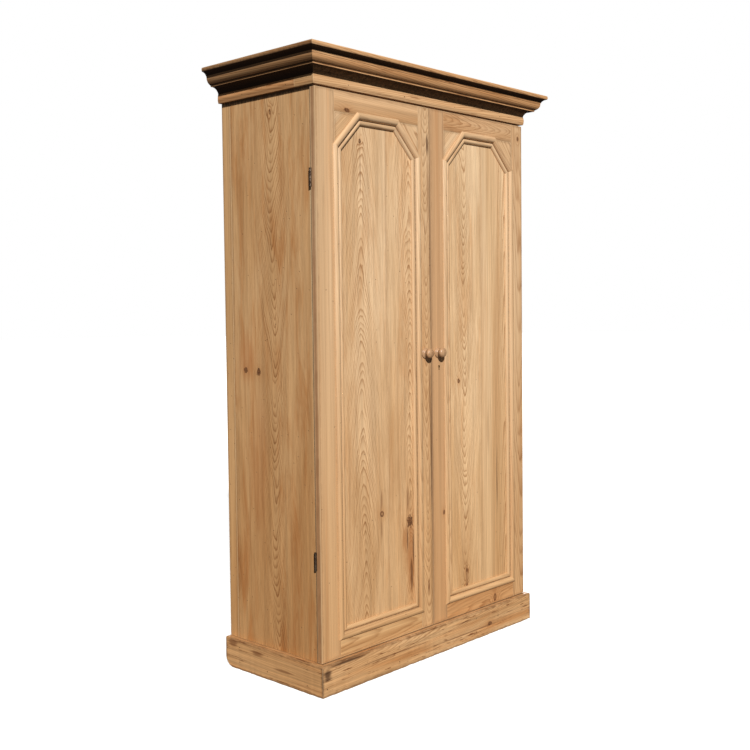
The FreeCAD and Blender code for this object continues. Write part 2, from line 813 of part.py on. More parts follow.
def armoire():
    left = Door(left_hinge_stile, left_meeting_stile)
    right = Door(right_hinge_stile, right_meeting_stile)
    nodes = {
        "left_side_front_board": side_front_board(),
        "left_side_rear_board": side_rear_board(True),
        "right_side_front_board": flipped(side_front_board()),
        "right_side_rear_board": flipped(side_rear_board(False)),
        "bottom_board": bottom_board(),
        "top_board": top_board(),
        "head_rail": head_rail(),
        "top_front_rail": top_front_rail(),
        "plinth_front": plinth_front(),
        "plinth_left": plinth_side(True),
        "plinth_right": flipped(plinth_side(False)),
        "plinth_packing_rail": plinth_packing_rail(),
        "plinth_back_rail": plinth_back_rail(),
        "frieze_front": front_length(frieze_section, frieze_foot_z),
        "frieze_left": side_length(frieze_section, frieze_foot_z),
        "frieze_right": flipped(side_length(frieze_section, frieze_foot_z)),
        "cornice_front": front_length(crown_section, crown_foot_z),
        "cornice_left": side_length(crown_section, crown_foot_z),
        "cornice_right": flipped(side_length(crown_section, crown_foot_z)),
        "hat_shelf": hat_shelf(),
        "left_shelf_bearer": shelf_bearer(),
        "right_shelf_bearer": flipped(shelf_bearer()),
        "hook_rail": hook_rail(),
        "coat_hooks": coat_hooks(),
        "left_side_hinge_leaves": hinge_leaves(1),
        "right_side_hinge_leaves": flipped(hinge_leaves(1)),
        "hinge_pins": hinge_pins() + flipped(hinge_pins()),
        "side_hinge_screws": hinge_screws(1) + flipped(hinge_screws(1)),
        "strike_plate": strike_plate(left),
        "bolt_cases": bolt_cases(left),
        "upper_bolt": door_bolt(left, head_foot_z - bolt_tip_gap, 1),
        "lower_bolt": door_bolt(left, bottom_top_z + bolt_tip_gap, -1),
        "lock_case": flipped(lock_case(right)),
        "lock_bolt": flipped(lock_bolt(right)),
    }
    for index in range(back_board_count):
        nodes["back_board_" + str(index + 1)] = back_board(index)
    nodes.update(door_pieces("left", left, False))
    for name, shape in door_pieces("right", right, True).items():
        nodes[name] = flipped(shape)
    return nodes


def solids_of(shape):
    shapes = shape if isinstance(shape, list) else [shape]
    return [solid for one in shapes for solid in one.Solids]


os.makedirs("parts", exist_ok=True)
for name, shape in armoire().items():
    solids = solids_of(shape)
    whole = solids[0] if len(solids) == 1 else Part.makeCompound(solids)
    whole.exportStep("parts/" + name + ".step")
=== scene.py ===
# %% [markdown]
# The armoire's joinery is already modelled: every board, hinge and bolt stands in its place as
# a node of the frame. This lesson gives those nodes the look of old waxed pine and iron. The
# numbers are metres, x runs to the right, y to the back and z up from the floor.

# %% Start: the armoire's fixed frame
import bpy
import bmesh
import json
import math
import random
from mathutils import Matrix, Vector, noise

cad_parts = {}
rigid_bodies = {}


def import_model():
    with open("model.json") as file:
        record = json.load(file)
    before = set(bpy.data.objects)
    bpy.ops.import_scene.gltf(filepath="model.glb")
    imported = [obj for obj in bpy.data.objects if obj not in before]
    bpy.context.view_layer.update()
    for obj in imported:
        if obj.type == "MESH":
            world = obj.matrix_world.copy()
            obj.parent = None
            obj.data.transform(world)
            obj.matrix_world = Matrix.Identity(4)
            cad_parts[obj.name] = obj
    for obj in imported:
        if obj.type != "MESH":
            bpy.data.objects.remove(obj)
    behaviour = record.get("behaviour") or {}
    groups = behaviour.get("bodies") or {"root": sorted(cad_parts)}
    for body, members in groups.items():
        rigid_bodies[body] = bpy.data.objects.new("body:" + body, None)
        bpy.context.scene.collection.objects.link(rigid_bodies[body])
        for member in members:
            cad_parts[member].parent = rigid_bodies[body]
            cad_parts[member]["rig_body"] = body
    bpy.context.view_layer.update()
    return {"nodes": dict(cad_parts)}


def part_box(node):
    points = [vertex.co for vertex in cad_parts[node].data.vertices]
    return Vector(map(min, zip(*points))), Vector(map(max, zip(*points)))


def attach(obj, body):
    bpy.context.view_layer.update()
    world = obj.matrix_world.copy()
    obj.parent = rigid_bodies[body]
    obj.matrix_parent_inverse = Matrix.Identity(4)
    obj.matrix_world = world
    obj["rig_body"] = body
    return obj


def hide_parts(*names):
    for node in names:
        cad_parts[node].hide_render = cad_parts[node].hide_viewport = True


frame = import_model()
nodes = frame["nodes"]
scene = bpy.context.scene
print("nodes in the frame:", len(nodes))


# %% [markdown]
# The camera stands to the left of the armoire at chest height and looks along the room's
# diagonal, so the front and the left side both show. It looks down by less than three degrees,
# so the uprights stay nearly parallel, and a small lens shift does the rest of the framing.
# The rotation is built from three plain turns, which is easier to read than Euler angles.

# %% Camera
def place_camera():
    eye = Vector((-2.7651, -2.5145, 1.2168))
    turn, tilt, lean = math.radians(46.888), math.radians(-2.665), math.radians(-0.652)
    data = bpy.data.cameras.new("viewer")
    data.sensor_width = 36.0
    data.lens = 50.25
    data.shift_y = -0.028
    data.clip_end = 50.0
    camera = bpy.data.objects.new("viewer", data)
    scene.collection.objects.link(camera)
    camera.matrix_world = (Matrix.Translation(eye) @ Matrix.Rotation(-turn, 4, "Z")
                           @ Matrix.Rotation(math.pi / 2 + tilt, 4, "X")
                           @ Matrix.Rotation(lean, 4, "Z"))
    scene.camera = camera


place_camera()
scene.view_settings.view_transform = "Standard"
print("lens", scene.camera.data.lens)


# %% [markdown]
# The light is a key from the front left, above the eye, and a weaker, broader one from behind,
# in a white room. A Sun lamp a few degrees wide gives the same light everywhere, so the
# mouldings get one clean shadow line. The white world fills the shadows, and a Light Path node
# lets the backdrop look white without flooding the piece with light. The floor glows a little
# for the same reason, and sends none of that light on to the armoire.

# %% Studio light
def light_studio(key_strength=4.75, fill_strength=0.10, rim_strength=1.6):
    world = bpy.data.worlds.new("white_room")
    scene.world = world
    world.use_nodes = True
    tree = world.node_tree
    tree.nodes.clear()
    seen = tree.nodes.new("ShaderNodeBackground")
    seen.inputs["Color"].default_value = (1.0, 1.0, 1.0, 1.0)
    fill = tree.nodes.new("ShaderNodeBackground")
    fill.inputs["Color"].default_value = (1.0, 0.97, 0.93, 1.0)
    fill.inputs["Strength"].default_value = fill_strength
    path = tree.nodes.new("ShaderNodeLightPath")
    choose = tree.nodes.new("ShaderNodeMixShader")
    out = tree.nodes.new("ShaderNodeOutputWorld")
    tree.links.new(path.outputs["Is Camera Ray"], choose.inputs[0])
    tree.links.new(fill.outputs[0], choose.inputs[1])
    tree.links.new(seen.outputs[0], choose.inputs[2])
    tree.links.new(choose.outputs[0], out.inputs[0])

    for name, strength, width, towards in (("key", key_strength, 2.5, (-0.55, -0.70, 0.52)),
                                           ("rim", rim_strength, 20.0, (0.70, 0.55, 0.50))):
        data = bpy.data.lights.new(name, "SUN")
        data.energy = strength
        data.angle = math.radians(width)
        lamp = bpy.data.objects.new(name, data)
        scene.collection.objects.link(lamp)
        lamp.rotation_mode = "QUATERNION"
        lamp.rotation_quaternion = Vector(towards).normalized().to_track_quat("Z", "Y")


light_studio()
print("lamps:", [lamp.name for lamp in bpy.data.lights])


# %% Floor
def lay_floor():
    mesh = bpy.data.meshes.new("floor")
    shape = bmesh.new()
    bmesh.ops.create_circle(shape, cap_ends=True, radius=40.0, segments=96)
    bmesh.ops.translate(shape, verts=shape.verts, vec=(0, 0, -0.0005))
    shape.to_mesh(mesh)
    shape.free()
    floor = bpy.data.objects.new("floor", mesh)
    scene.collection.objects.link(floor)
    pale = bpy.data.materials.new("pale_floor")
    pale.use_nodes = True
    shader = pale.node_tree.nodes["Principled BSDF"]
    shader.inputs["Base Color"].default_value = (0.90, 0.90, 0.89, 1.0)
    shader.inputs["Roughness"].default_value = 0.85
    shader.inputs["Emission Color"].default_value = (1.0, 1.0, 1.0, 1.0)
    shader.inputs["Emission Strength"].default_value = 0.45
    mesh.materials.append(pale)
    floor.visible_diffuse = False
    floor.visible_glossy = False


lay_floor()
print("floor laid")


# %% [markdown]
# Every finish below is a small graph of nodes. Adding nodes one by one in long hand hides the
# idea, so this class gives each kind of node a short method: it takes numbers or sockets and
# returns the socket that holds the result.

# %% Finish: short hand for shader nodes
def srgb(red, green, blue):
    """A display colour from 0 to 255 as the linear colour that a shader wants."""
    linear = [c / 255.0 / 12.92 if c <= 10 else ((c / 255.0 + 0.055) / 1.055) ** 2.4
              for c in (red, green, blue)]
    return (*linear, 1.0)


class Finish:
    def __init__(self, name):
        self.material = bpy.data.materials.new(name)
        self.material.use_nodes = True
        self.tree = self.material.node_tree
        self.tree.nodes.clear()
        self.shader = self.tree.nodes.new("ShaderNodeBsdfPrincipled")
        out = self.tree.nodes.new("ShaderNodeOutputMaterial")
        self.tree.links.new(self.shader.outputs[0], out.inputs[0])
        self.place = self.node("ShaderNodeTexCoord").outputs["Object"]
        self.grain = None

    def node(self, kind, **settings):
        made = self.tree.nodes.new(kind)
        for key, value in settings.items():
            setattr(made, key, value)
        return made

    def feed(self, socket, value):
        if isinstance(value, bpy.types.NodeSocket):
            self.tree.links.new(value, socket)
        else:
            socket.default_value = value

    def math(self, operation, a, b=0.0, c=0.0):
        made = self.node("ShaderNodeMath", operation=operation)
        for socket, value in zip(made.inputs, (a, b, c)):
            self.feed(socket, value)
        return made.outputs[0]

    def add(self, a, b):
        return self.math("ADD", a, b)

    def times(self, a, b):
        return self.math("MULTIPLY", a, b)

    def vector(self, operation, a, b=(0.0, 0.0, 0.0)):
        made = self.node("ShaderNodeVectorMath", operation=operation)
        self.feed(made.inputs[0], a)
        self.feed(made.inputs[1], b)
        scalar = operation in ("LENGTH", "DISTANCE", "DOT_PRODUCT")
        return made.outputs["Value"] if scalar else made.outputs[0]

    def split(self, vector):
        made = self.node("ShaderNodeSeparateXYZ")
        self.feed(made.inputs[0], vector)
        return made.outputs[0], made.outputs[1], made.outputs[2]

    def join(self, x, y, z):
        made = self.node("ShaderNodeCombineXYZ")
        for socket, value in zip(made.inputs, (x, y, z)):
            self.feed(socket, value)
        return made.outputs[0]

    def attribute(self, name, kind="Vector"):
        return self.node("ShaderNodeAttribute", attribute_name=name).outputs[kind]

    def noise(self, where, scale=1.0, detail=3.0, rough=0.55, twist=0.0):
        made = self.node("ShaderNodeTexNoise")
        self.feed(made.inputs["Vector"], where)
        self.feed(made.inputs["Scale"], scale)
        self.feed(made.inputs["Detail"], detail)
        self.feed(made.inputs["Roughness"], rough)
        self.feed(made.inputs["Distortion"], twist)
        return made.outputs[0]

    def fibres(self, along, across, detail, rough, twist=0.0, through=None):
        """Noise drawn out along the grain; the first two say how many patches to a metre."""
        drawn = self.vector("MULTIPLY", self.grain, (along, across, through or across))
        return self.noise(drawn, 1.0, detail, rough, twist)

    def swing(self, noise, amount):
        """A noise of 0..1 as a swing about nothing, half of amount each way."""
        return self.times(self.math("SUBTRACT", noise, 0.5), amount)

    def span(self, value, low, high, to_low=0.0, to_high=1.0):
        """Eases value from low..high to to_low..to_high, and holds it there outside."""
        made = self.node("ShaderNodeMapRange", interpolation_type="SMOOTHSTEP")
        for socket, given in zip(made.inputs, (value, low, high, to_low, to_high)):
            self.feed(socket, given)
        return made.outputs[0]

    def mix(self, factor, a, b, mode="MIX"):
        made = self.node("ShaderNodeMix", data_type="RGBA", blend_type=mode)
        self.feed(made.inputs["Factor"], factor)
        self.feed(made.inputs[6], a)
        self.feed(made.inputs[7], b)
        return made.outputs[2]

    def tint(self, colour, amount, red, green, blue):
        """Multiplies colour by a tint, as far as amount (0..1) says."""
        return self.mix(amount, colour, self.mix(1.0, colour, (red, green, blue, 1.0), "MULTIPLY"))

    def ramp(self, value, *stops):
        made = self.node("ShaderNodeValToRGB")
        self.feed(made.inputs[0], value)
        marks = made.color_ramp.elements
        while len(marks) < len(stops):
            marks.new(0.5)
        for mark, (at, level) in zip(marks, stops):
            mark.position = at
            mark.color = (level, level, level, 1.0)
        return made.outputs[0]

    def dress(self, colour, roughness, height, depth, **fixed):
        self.feed(self.shader.inputs["Base Color"], colour)
        self.feed(self.shader.inputs["Roughness"], roughness)
        bump = self.node("ShaderNodeBump")
        bump.inputs["Strength"].default_value = 1.0
        bump.inputs["Distance"].default_value = depth
        self.feed(bump.inputs["Height"], height)
        self.feed(self.shader.inputs["Normal"], bump.outputs[0])
        for name, value in fixed.items():
            self.shader.inputs[name.replace("_", " ")].default_value = value
        return self.material


print("middle grey in linear light:", round(srgb(128, 128, 128)[0], 3))


# %% [markdown]
# Old scrubbed pine. A board is a slice of a log, so the figure is drawn the way it grows: each
# board carries its own coordinates along, across and through the log, the distance from the
# pith gives the year rings, and a slice through slowly tapering rings shows the arches. A
# picture of wood would repeat and stretch, and it would not run on round a corner of a board.
# Knots push the rings aside, as the branch did while the tree grew.

# %% Pine: the year rings
def knot_distance(wood, place, size):
    """How far a point is from a knot, in knot radii; size gives the radius each way."""
    offset = wood.vector("SUBTRACT", wood.place, place)
    scaled = wood.vector("MULTIPLY", offset, tuple(1.0 / s for s in size))
    return wood.vector("LENGTH", scaled)


def year_rings(wood, knots, ring_width, slope):
    """Returns how dark the late wood is, how deep inside a knot a point is, and the stain
    round the knots, each 0..1."""
    along, across, through = wood.split(wood.grain)
    a = wood.add(across, wood.swing(wood.fibres(1.5, 5.0, 2.0, 0.5), 0.060))
    drift = wood.noise(wood.vector("MULTIPLY", wood.grain, (1.5, 5.0, 5.0)), 1.7, 2.0, 0.5)
    t = wood.add(through, wood.swing(drift, 0.050))
    radius = wood.math("SQRT", wood.add(wood.times(a, a), wood.times(t, t)))
    radius = wood.add(radius, wood.times(along, slope))
    radius = wood.add(radius, wood.swing(wood.fibres(22.0, 60.0, 3.0, 0.6), 0.0065))
    torn = wood.noise(wood.place, 150.0, 3.0, 0.6)
    cores = halos = 0.0
    for place, size, push, sound in knots:
        away = knot_distance(wood, place, size)
        bump = wood.math("POWER", math.e, wood.times(wood.times(away, away), -0.16))
        radius = wood.add(radius, wood.times(bump, push))
        frayed = wood.add(away, wood.swing(torn, 1.7 - sound))
        core = wood.times(wood.span(frayed, 1.15, 0.75),
                          wood.span(frayed, 0.25, 0.75, 1.0 - 0.6 * sound, 1.0))
        cores = wood.math("MAXIMUM", cores, core)
        halos = wood.math("MAXIMUM", halos, bump)
    uneven = wood.noise(wood.join(radius, 0.0, 0.0), 60.0, 2.0, 0.6)
    phase = wood.add(wood.math("DIVIDE", radius, ring_width), wood.times(uneven, 1.6))
    year = wood.math("FRACT", phase)
    late = wood.ramp(year, (0.0, 0.0), (0.34, 0.03), (0.62, 0.42), (0.86, 1.0), (1.0, 0.0))
    mood = wood.noise(wood.join(radius, 0.0, 3.0), 75.0, 2.0, 0.6)
    late = wood.times(late, wood.span(mood, 0.32, 0.62, 0.15, 1.0))
    flat_sawn = wood.span(wood.math("ABSOLUTE", a), 0.02, 0.09, 1.0, 0.42)
    return wood.times(late, flat_sawn), cores, halos


print("year rings ready")


# %% [markdown]
# Clean pine is never one colour. It drifts between pale and tan along the board, its late wood
# is darker, fibres far longer than they are wide run through it, and reddish heart wood lies in
# clouds. Apart from the late wood, which comes from the rings, each of these is one noise
# drawn out along the grain, laid over the one before.

# %% Pine: clean wood
def clean_wood(wood, ground, late, figure, fibre, red):
    """Returns the colour, and the fine and the coarser fibres that later steps reuse."""
    pale, tan = (tuple(g * t for g, t in zip(ground, tint)) + (1.0,)
                 for tint in ((1.12, 1.15, 1.20), (0.91, 0.85, 0.78)))
    broad = wood.fibres(1.6, 9.0, 4.0, 0.6, 0.4, through=1.0)
    colour = wood.mix(wood.span(broad, 0.30, 0.70), pale, tan)
    colour = wood.tint(colour, wood.times(late, figure), 0.45, 0.30, 0.19)

    fine = wood.fibres(11.0, 330.0, 4.0, 0.65)
    strand = wood.fibres(2.6, 120.0, 4.0, 0.62)
    shade = wood.add(1.0, wood.add(wood.swing(fine, fibre * 0.8), wood.swing(strand, fibre * 1.5)))
    colour = wood.mix(1.0, colour, wood.join(shade, shade, shade), "MULTIPLY")

    cloud = wood.fibres(3.0, 20.0, 5.0, 0.62, 0.6)
    colour = wood.tint(colour, wood.times(wood.span(cloud, 0.46, 0.72), red), 0.80, 0.62, 0.46)
    resin = wood.fibres(1.3, 95.0, 3.0, 0.5)
    colour = wood.tint(colour, wood.times(wood.span(resin, 0.64, 0.78), 0.40), 0.62, 0.44, 0.30)
    return colour, fine, strand


print("clean wood ready")


# %% [markdown]
# A long life lies on top. Dirt is rubbed into the open grain in ragged patches, and
# mopping has left the wood darker and warmer towards the floor. The knots and most streaks are
# the ones that this armoire has, each at its own place, because a chance pattern would not put
# the torn knot where the eye looks for it. A few streaks are painted shade and painted shadow:
# the band under the frieze on the side, and the lines beside the doors' edges.

# %% Pine: dirt, streaks and knots
def dirt_and_marks(wood, colour, strand, cores, halos, streaks, blotch):
    rubbed_in = wood.fibres(20.0, 110.0, 4.0, 0.70)
    colour = wood.tint(colour, wood.times(wood.span(rubbed_in, 0.57, 0.68), blotch),
                       0.36, 0.24, 0.16)
    height_above_floor = wood.split(wood.place)[2]
    colour = wood.tint(colour, wood.span(height_above_floor, 1.70, 0.05), 0.85, 0.75, 0.62)
    # Most streaks are stains; a few are painted shade and painted shadow, laid on the same way.
    for place, size, strength, streak_colour in streaks:
        frayed = wood.add(knot_distance(wood, place, size), wood.swing(strand, 1.6))
        colour = wood.mix(wood.times(wood.span(frayed, 1.1, 0.35), strength), colour, streak_colour)

    # a knot: a halo of darker wood, and a gritty brown core
    colour = wood.tint(colour, wood.times(halos, 0.40), 0.74, 0.55, 0.40)
    grit = wood.noise(wood.place, 260.0, 3.0, 0.6)
    heart = wood.mix(wood.span(grit, 0.35, 0.65), srgb(56, 34, 20), srgb(128, 80, 46))
    return wood.mix(wood.times(cores, 0.92), colour, heart)


print("marks ready")


# %% [markdown]
# Hands and dusters rub the arrises pale, and dirt stays in the joints. Both follow the nearest
# edge of each board, which a shader can't see, so every board carries its own two corners and
# the distance is worked out from them. Dents and scuffs come from a cell pattern and a very
# drawn-out noise, and old polish and soot go wherever a piece says that it has a hollow. On the
# cornice that darkening is partly painted shade, and the tone of each length paints the lit front
# lighter and the shaded left side darker.

# %% Pine: worn edges, nicks, old polish and painted shade
def worn_edges(wood, colour, patchy, wear, grime):
    """The nearest edge is the middle one of the distances to the three nearest faces."""
    low = wood.vector("SUBTRACT", wood.place, wood.attribute("low"))
    high = wood.vector("SUBTRACT", wood.attribute("high"), wood.place)
    dx, dy, dz = wood.split(wood.vector("MINIMUM", low, high))
    edge = wood.math("MAXIMUM", wood.math("MINIMUM", dx, dy),
                     wood.math("MINIMUM", wood.math("MAXIMUM", dx, dy), dz))
    rubbed = wood.span(wood.add(edge, wood.times(patchy, -0.004)), 0.0012, -0.0012)
    colour = wood.mix(wood.times(rubbed, wear), colour,
                      wood.mix(0.5, colour, srgb(238, 206, 160)))
    dirty = wood.times(wood.span(wood.add(edge, wood.times(patchy, -0.016)), 0.003, -0.006), grime)
    return wood.mix(wood.times(dirty, 0.55), colour, srgb(92, 56, 30)), dirty


def nicks_and_scuffs(wood, colour, patchy):
    spots = wood.node("ShaderNodeTexVoronoi")
    wood.feed(spots.inputs["Vector"], wood.place)
    spots.inputs["Scale"].default_value = 34.0
    rare = wood.math("GREATER_THAN", wood.split(spots.outputs["Color"])[0], 0.80)
    nick = wood.times(wood.span(spots.outputs["Distance"], 0.075, 0.035), rare)
    colour = wood.mix(wood.times(nick, 0.55), colour, srgb(86, 52, 28))
    scuff = wood.times(wood.span(wood.fibres(60.0, 900.0, 2.0, 0.5), 0.66, 0.75),
                       wood.span(patchy, 0.5, 0.7))
    return wood.mix(wood.times(scuff, 0.30), colour, srgb(240, 214, 172)), nick


def tone_polish_and_shade(wood, colour):
    """The tone of each board, then the soot and polish held in its hollows. On the cornice the
    tone paints the lit front lighter and the shaded left side darker, and the darkening in the
    hollows is partly painted shade.
    """
    colour = wood.mix(1.0, colour, wood.attribute("tone", "Color"), "MULTIPLY")
    crust = wood.swing(wood.noise(wood.place, 90.0, 5.0, 0.7), 0.55)
    held_soot_and_shade = wood.span(wood.add(wood.attribute("soot_and_shade", "Fac"), crust), 0.15, 0.75)
    return wood.mix(wood.times(held_soot_and_shade, 0.95), colour, srgb(44, 26, 15)), held_soot_and_shade


print("wear ready")


# %% [markdown]
# The finish itself only lays these steps over each other and adds the relief: late wood stands
# a little proud of the scrubbed early wood, and knots stand proud of both. One function serves
# every part, so all of them are plainly the same timber.

# %% Pine: the whole finish
def pine(name, ground, knots=(), streaks=(), ring_width=0.0058, figure=0.8, fibre=0.50,
         red=0.5, wear=0.6, grime=0.5, polish=0.48, blotch=0.15, shine=0.4):
    """ground is the mean colour of clean wood. A knot is (place, radius each way, how far it
    pushes the rings, how sound it is); a streak is (place, radius each way, strength, colour).
    The other values are amounts, 0..1, but ring_width is in metres."""
    wood = Finish(name)
    wood.grain = wood.attribute("grain")
    late, cores, halos = year_rings(wood, knots, ring_width, slope=0.17)
    colour, fine, strand = clean_wood(wood, ground, late, figure, fibre, red)
    colour = dirt_and_marks(wood, colour, strand, cores, halos, streaks, blotch)
    patchy = wood.noise(wood.place, 34.0, 4.0, 0.65)
    colour, dirty = worn_edges(wood, colour, patchy, wear, grime)
    colour, nick = nicks_and_scuffs(wood, colour, patchy)
    colour, held_soot_and_shade = tone_polish_and_shade(wood, colour)

    height = wood.add(wood.times(late, 0.35), wood.times(fine, 0.55))
    height = wood.math("SUBTRACT", height, wood.times(nick, 2.2))
    height = wood.math("SUBTRACT", height, wood.times(dirty, 0.4))
    height = wood.add(height, wood.times(cores, 0.5))
    roughness = wood.add(wood.times(fine, 0.16), polish - 0.06)
    roughness = wood.math("SUBTRACT", roughness, wood.times(late, 0.06))
    roughness = wood.add(roughness, wood.times(held_soot_and_shade, 0.25))
    return wood.dress(colour, roughness, height, 0.0005, Coat_Weight=0.05, Coat_Roughness=0.4,
                      Specular_IOR_Level=shine)


print("pine ready")


# %% [markdown]
# Each part of the armoire has its own finish of the same timber, with its own knots and stains,
# and a few marks of painted shade and painted shadow.
# A mark is an ellipsoid in the armoire's space, so it runs round a corner as the real one does.
# Most marks lie on one face, so two helpers turn a short line of numbers into such marks.

# %% Finishes of the armoire: marks
STAIN = srgb(112, 66, 34)
DEEP = srgb(66, 38, 22)
BARE = srgb(240, 212, 168)
TAN = srgb(176, 108, 58)
RED_TAN = srgb(164, 104, 56)
FRAME_FACE, PANEL_FACE, PLINTH_FACE = -0.192, -0.184, -0.2105
SIDE_FACE, PLINTH_SIDE = -0.534, -0.557


def on_front(y, *marks, through=0.05):
    """Marks on a face that looks forward: x, z, half width, half height, and two values."""
    return [((x, y, z), (wide, through, tall), first, second)
            for x, z, wide, tall, first, second in marks]


def on_left(x, *marks, through=0.05):
    """Marks on a face that looks left: y, z, half width, half height, and two values."""
    return [((x, y, z), (through, wide, tall), first, second)
            for y, z, wide, tall, first, second in marks]


print("a mark:", on_left(SIDE_FACE, (0.160, 1.008, 0.009, 0.011, 0.012, 0.3))[0])


# %% Finishes of the armoire: doors
door_frame_pine = pine(
    "pine_frame", (0.64, 0.415, 0.225),
    knots=on_front(
        FRAME_FACE,
        (-0.400, 1.829, 0.012, 0.007, 0.012, 0.3), (0.0614, 0.488, 0.005, 0.009, 0.010, 0.3),
        (0.3568, 0.1226, 0.009, 0.015, 0.014, 1.0), (0.5157, 1.837, 0.006, 0.008, 0.012, 0.3)),
    streaks=[
        *on_front(
            FRAME_FACE,
            (-0.013, 1.760, 0.008, 0.045, 0.8, DEEP), (-0.013, 1.60, 0.005, 0.22, 0.45, STAIN),
            (-0.0065, 0.72, 0.0030, 0.24, 0.75, DEEP), (-0.0065, 1.38, 0.0028, 0.28, 0.60, STAIN),
            (-0.016, 0.60, 0.0025, 0.12, 0.55, STAIN), (-0.024, 0.240, 0.006, 0.030, 0.9, STAIN),
            (-0.011, 0.93, 0.006, 0.12, 0.5, STAIN)),
        # Painted shade down the left door's outer edge: a brown band on the edge itself, and a dark
        # line at its back in the gap to the side. The line where the doors meet is partly dirt and
        # partly painted shade of the rounded arrises in the gap.
        *on_front(-0.181, (-0.540, 1.00, 0.0035, 1.80, 0.60, srgb(126, 78, 46)), through=0.010),
        *on_front(-0.170, (-0.540, 1.00, 0.0035, 1.80, 0.80, DEEP), through=0.003),
        *on_front(FRAME_FACE, (0.000, 1.00, 0.0042, 1.60, 0.75, srgb(104, 62, 34)))],
    figure=0.7)
panel_pine = pine(
    "pine_panel", (0.70, 0.475, 0.27),
    knots=on_front(
        PANEL_FACE,
        (-0.3367, 1.7404, 0.006, 0.009, 0.008, 0.2), (-0.2507, 0.528, 0.010, 0.010, 0.012, 1.0),
        (-0.111, 0.4826, 0.015, 0.020, 0.016, 0.0), (0.1586, 0.9435, 0.007, 0.008, 0.010, 0.3),
        (0.1995, 0.254, 0.005, 0.007, 0.010, 0.5), (0.1989, 0.199, 0.005, 0.007, 0.010, 0.5)),
    streaks=on_front(
        PANEL_FACE,
        (-0.335, 1.63, 0.0035, 0.10, 0.5, STAIN), (-0.2507, 0.575, 0.005, 0.045, 0.55, STAIN),
        (-0.2520, 0.480, 0.005, 0.045, 0.50, STAIN), (-0.108, 0.36, 0.026, 0.14, 0.70, RED_TAN),
        (-0.138, 0.425, 0.016, 0.055, 0.55, RED_TAN), (-0.095, 0.39, 0.005, 0.08, 0.75, DEEP),
        (-0.124, 0.42, 0.004, 0.05, 0.65, DEEP), (-0.104, 0.30, 0.008, 0.06, 0.60, DEEP),
        (-0.120, 0.56, 0.010, 0.05, 0.45, STAIN), (0.200, 0.23, 0.012, 0.06, 0.45, STAIN),
        (0.330, 0.75, 0.006, 0.10, 0.30, STAIN), (0.384, 0.56, 0.0025, 0.13, 0.8, DEEP)),
    figure=0.9, fibre=0.55, wear=0.05, grime=0.25)
moulding_pine = pine("pine_moulding", (0.63, 0.42, 0.235), figure=0.45, fibre=0.4, red=0.35,
                     wear=0.2, grime=0.1)
knob_pine = pine("pine_knob", (0.45, 0.275, 0.15), ring_width=0.0025, wear=0.1, grime=0.0,
                 blotch=0.6, polish=0.32)
print("door finishes:", len(panel_pine.node_tree.nodes), "nodes in the panel's")


# %% Finishes of the armoire: carcass
side_pine = pine(
    "pine_side", (0.57, 0.34, 0.158),
    knots=on_left(
        SIDE_FACE,
        (0.160, 1.008, 0.009, 0.011, 0.012, 0.3), (0.095, 1.003, 0.010, 0.013, 0.020, 0.0),
        (0.020, 1.835, 0.004, 0.010, 0.012, 0.5)),
    streaks=on_left(
        SIDE_FACE,
        # The second mark below is painted shadow: a dark band on the side just under the frieze,
        # where the frieze casts its shadow.
        (-0.1700, 1.00, 0.0100, 1.80, 0.95, BARE), (0.02, 1.891, 0.60, 0.011, 0.75, srgb(52, 32, 20)),
        (0.10, 0.70, 0.050, 0.30, 0.25, TAN), (0.150, 1.05, 0.050, 0.10, 0.35, TAN)),
    figure=0.9, red=0.9)
cornice_pine = pine("pine_cornice", (0.46, 0.27, 0.13), fibre=0.8, wear=0.4, grime=0.2,
                    blotch=0.7, shine=0.15)
plinth_pine = pine(
    "pine_plinth", (0.70, 0.465, 0.26),
    knots=on_front(PLINTH_FACE, (0.30, 0.04, 0.012, 0.008, 0.014, 0.5)),
    streaks=[
        *on_front(PLINTH_FACE, (-0.20, 0.060, 0.22, 0.003, 0.7, STAIN),
                  (0.16, 0.035, 0.16, 0.003, 0.6, STAIN)),
        *on_front(PLINTH_FACE, (-0.44, 0.093, 0.13, 0.007, 0.9, DEEP),
                  (-0.535, 0.070, 0.022, 0.022, 0.85, DEEP),
                  (-0.10, 0.096, 0.14, 0.003, 0.6, STAIN), through=0.02),
        *on_front(-0.2095, (-0.5560, 0.050, 0.0030, 0.060, 0.9, srgb(44, 28, 18)), through=0.003),
        *on_left(PLINTH_SIDE, (0.10, 0.075, 0.040, 0.010, 0.7, STAIN),
                 (0.225, 0.085, 0.030, 0.018, 0.7, STAIN),
                 (-0.03, 0.045, 0.050, 0.006, 0.6, STAIN), through=0.02)],
    fibre=0.8, grime=1.0, wear=1.0, red=0.9, blotch=1.0)
inside_pine = pine("pine_inside", (0.56, 0.37, 0.205), figure=0.5, wear=0.2, grime=0.4,
                   polish=0.62)
print("carcass finishes:", len(plinth_pine.node_tree.nodes), "nodes in the plinth's")


# %% [markdown]
# The ironwork. Hinges and screws are worn steel: brown where the rust has been waxed over and
# bright where hands and the other leaf rub. One function makes all of them, because only the
# colours, the rust and the roughness change.

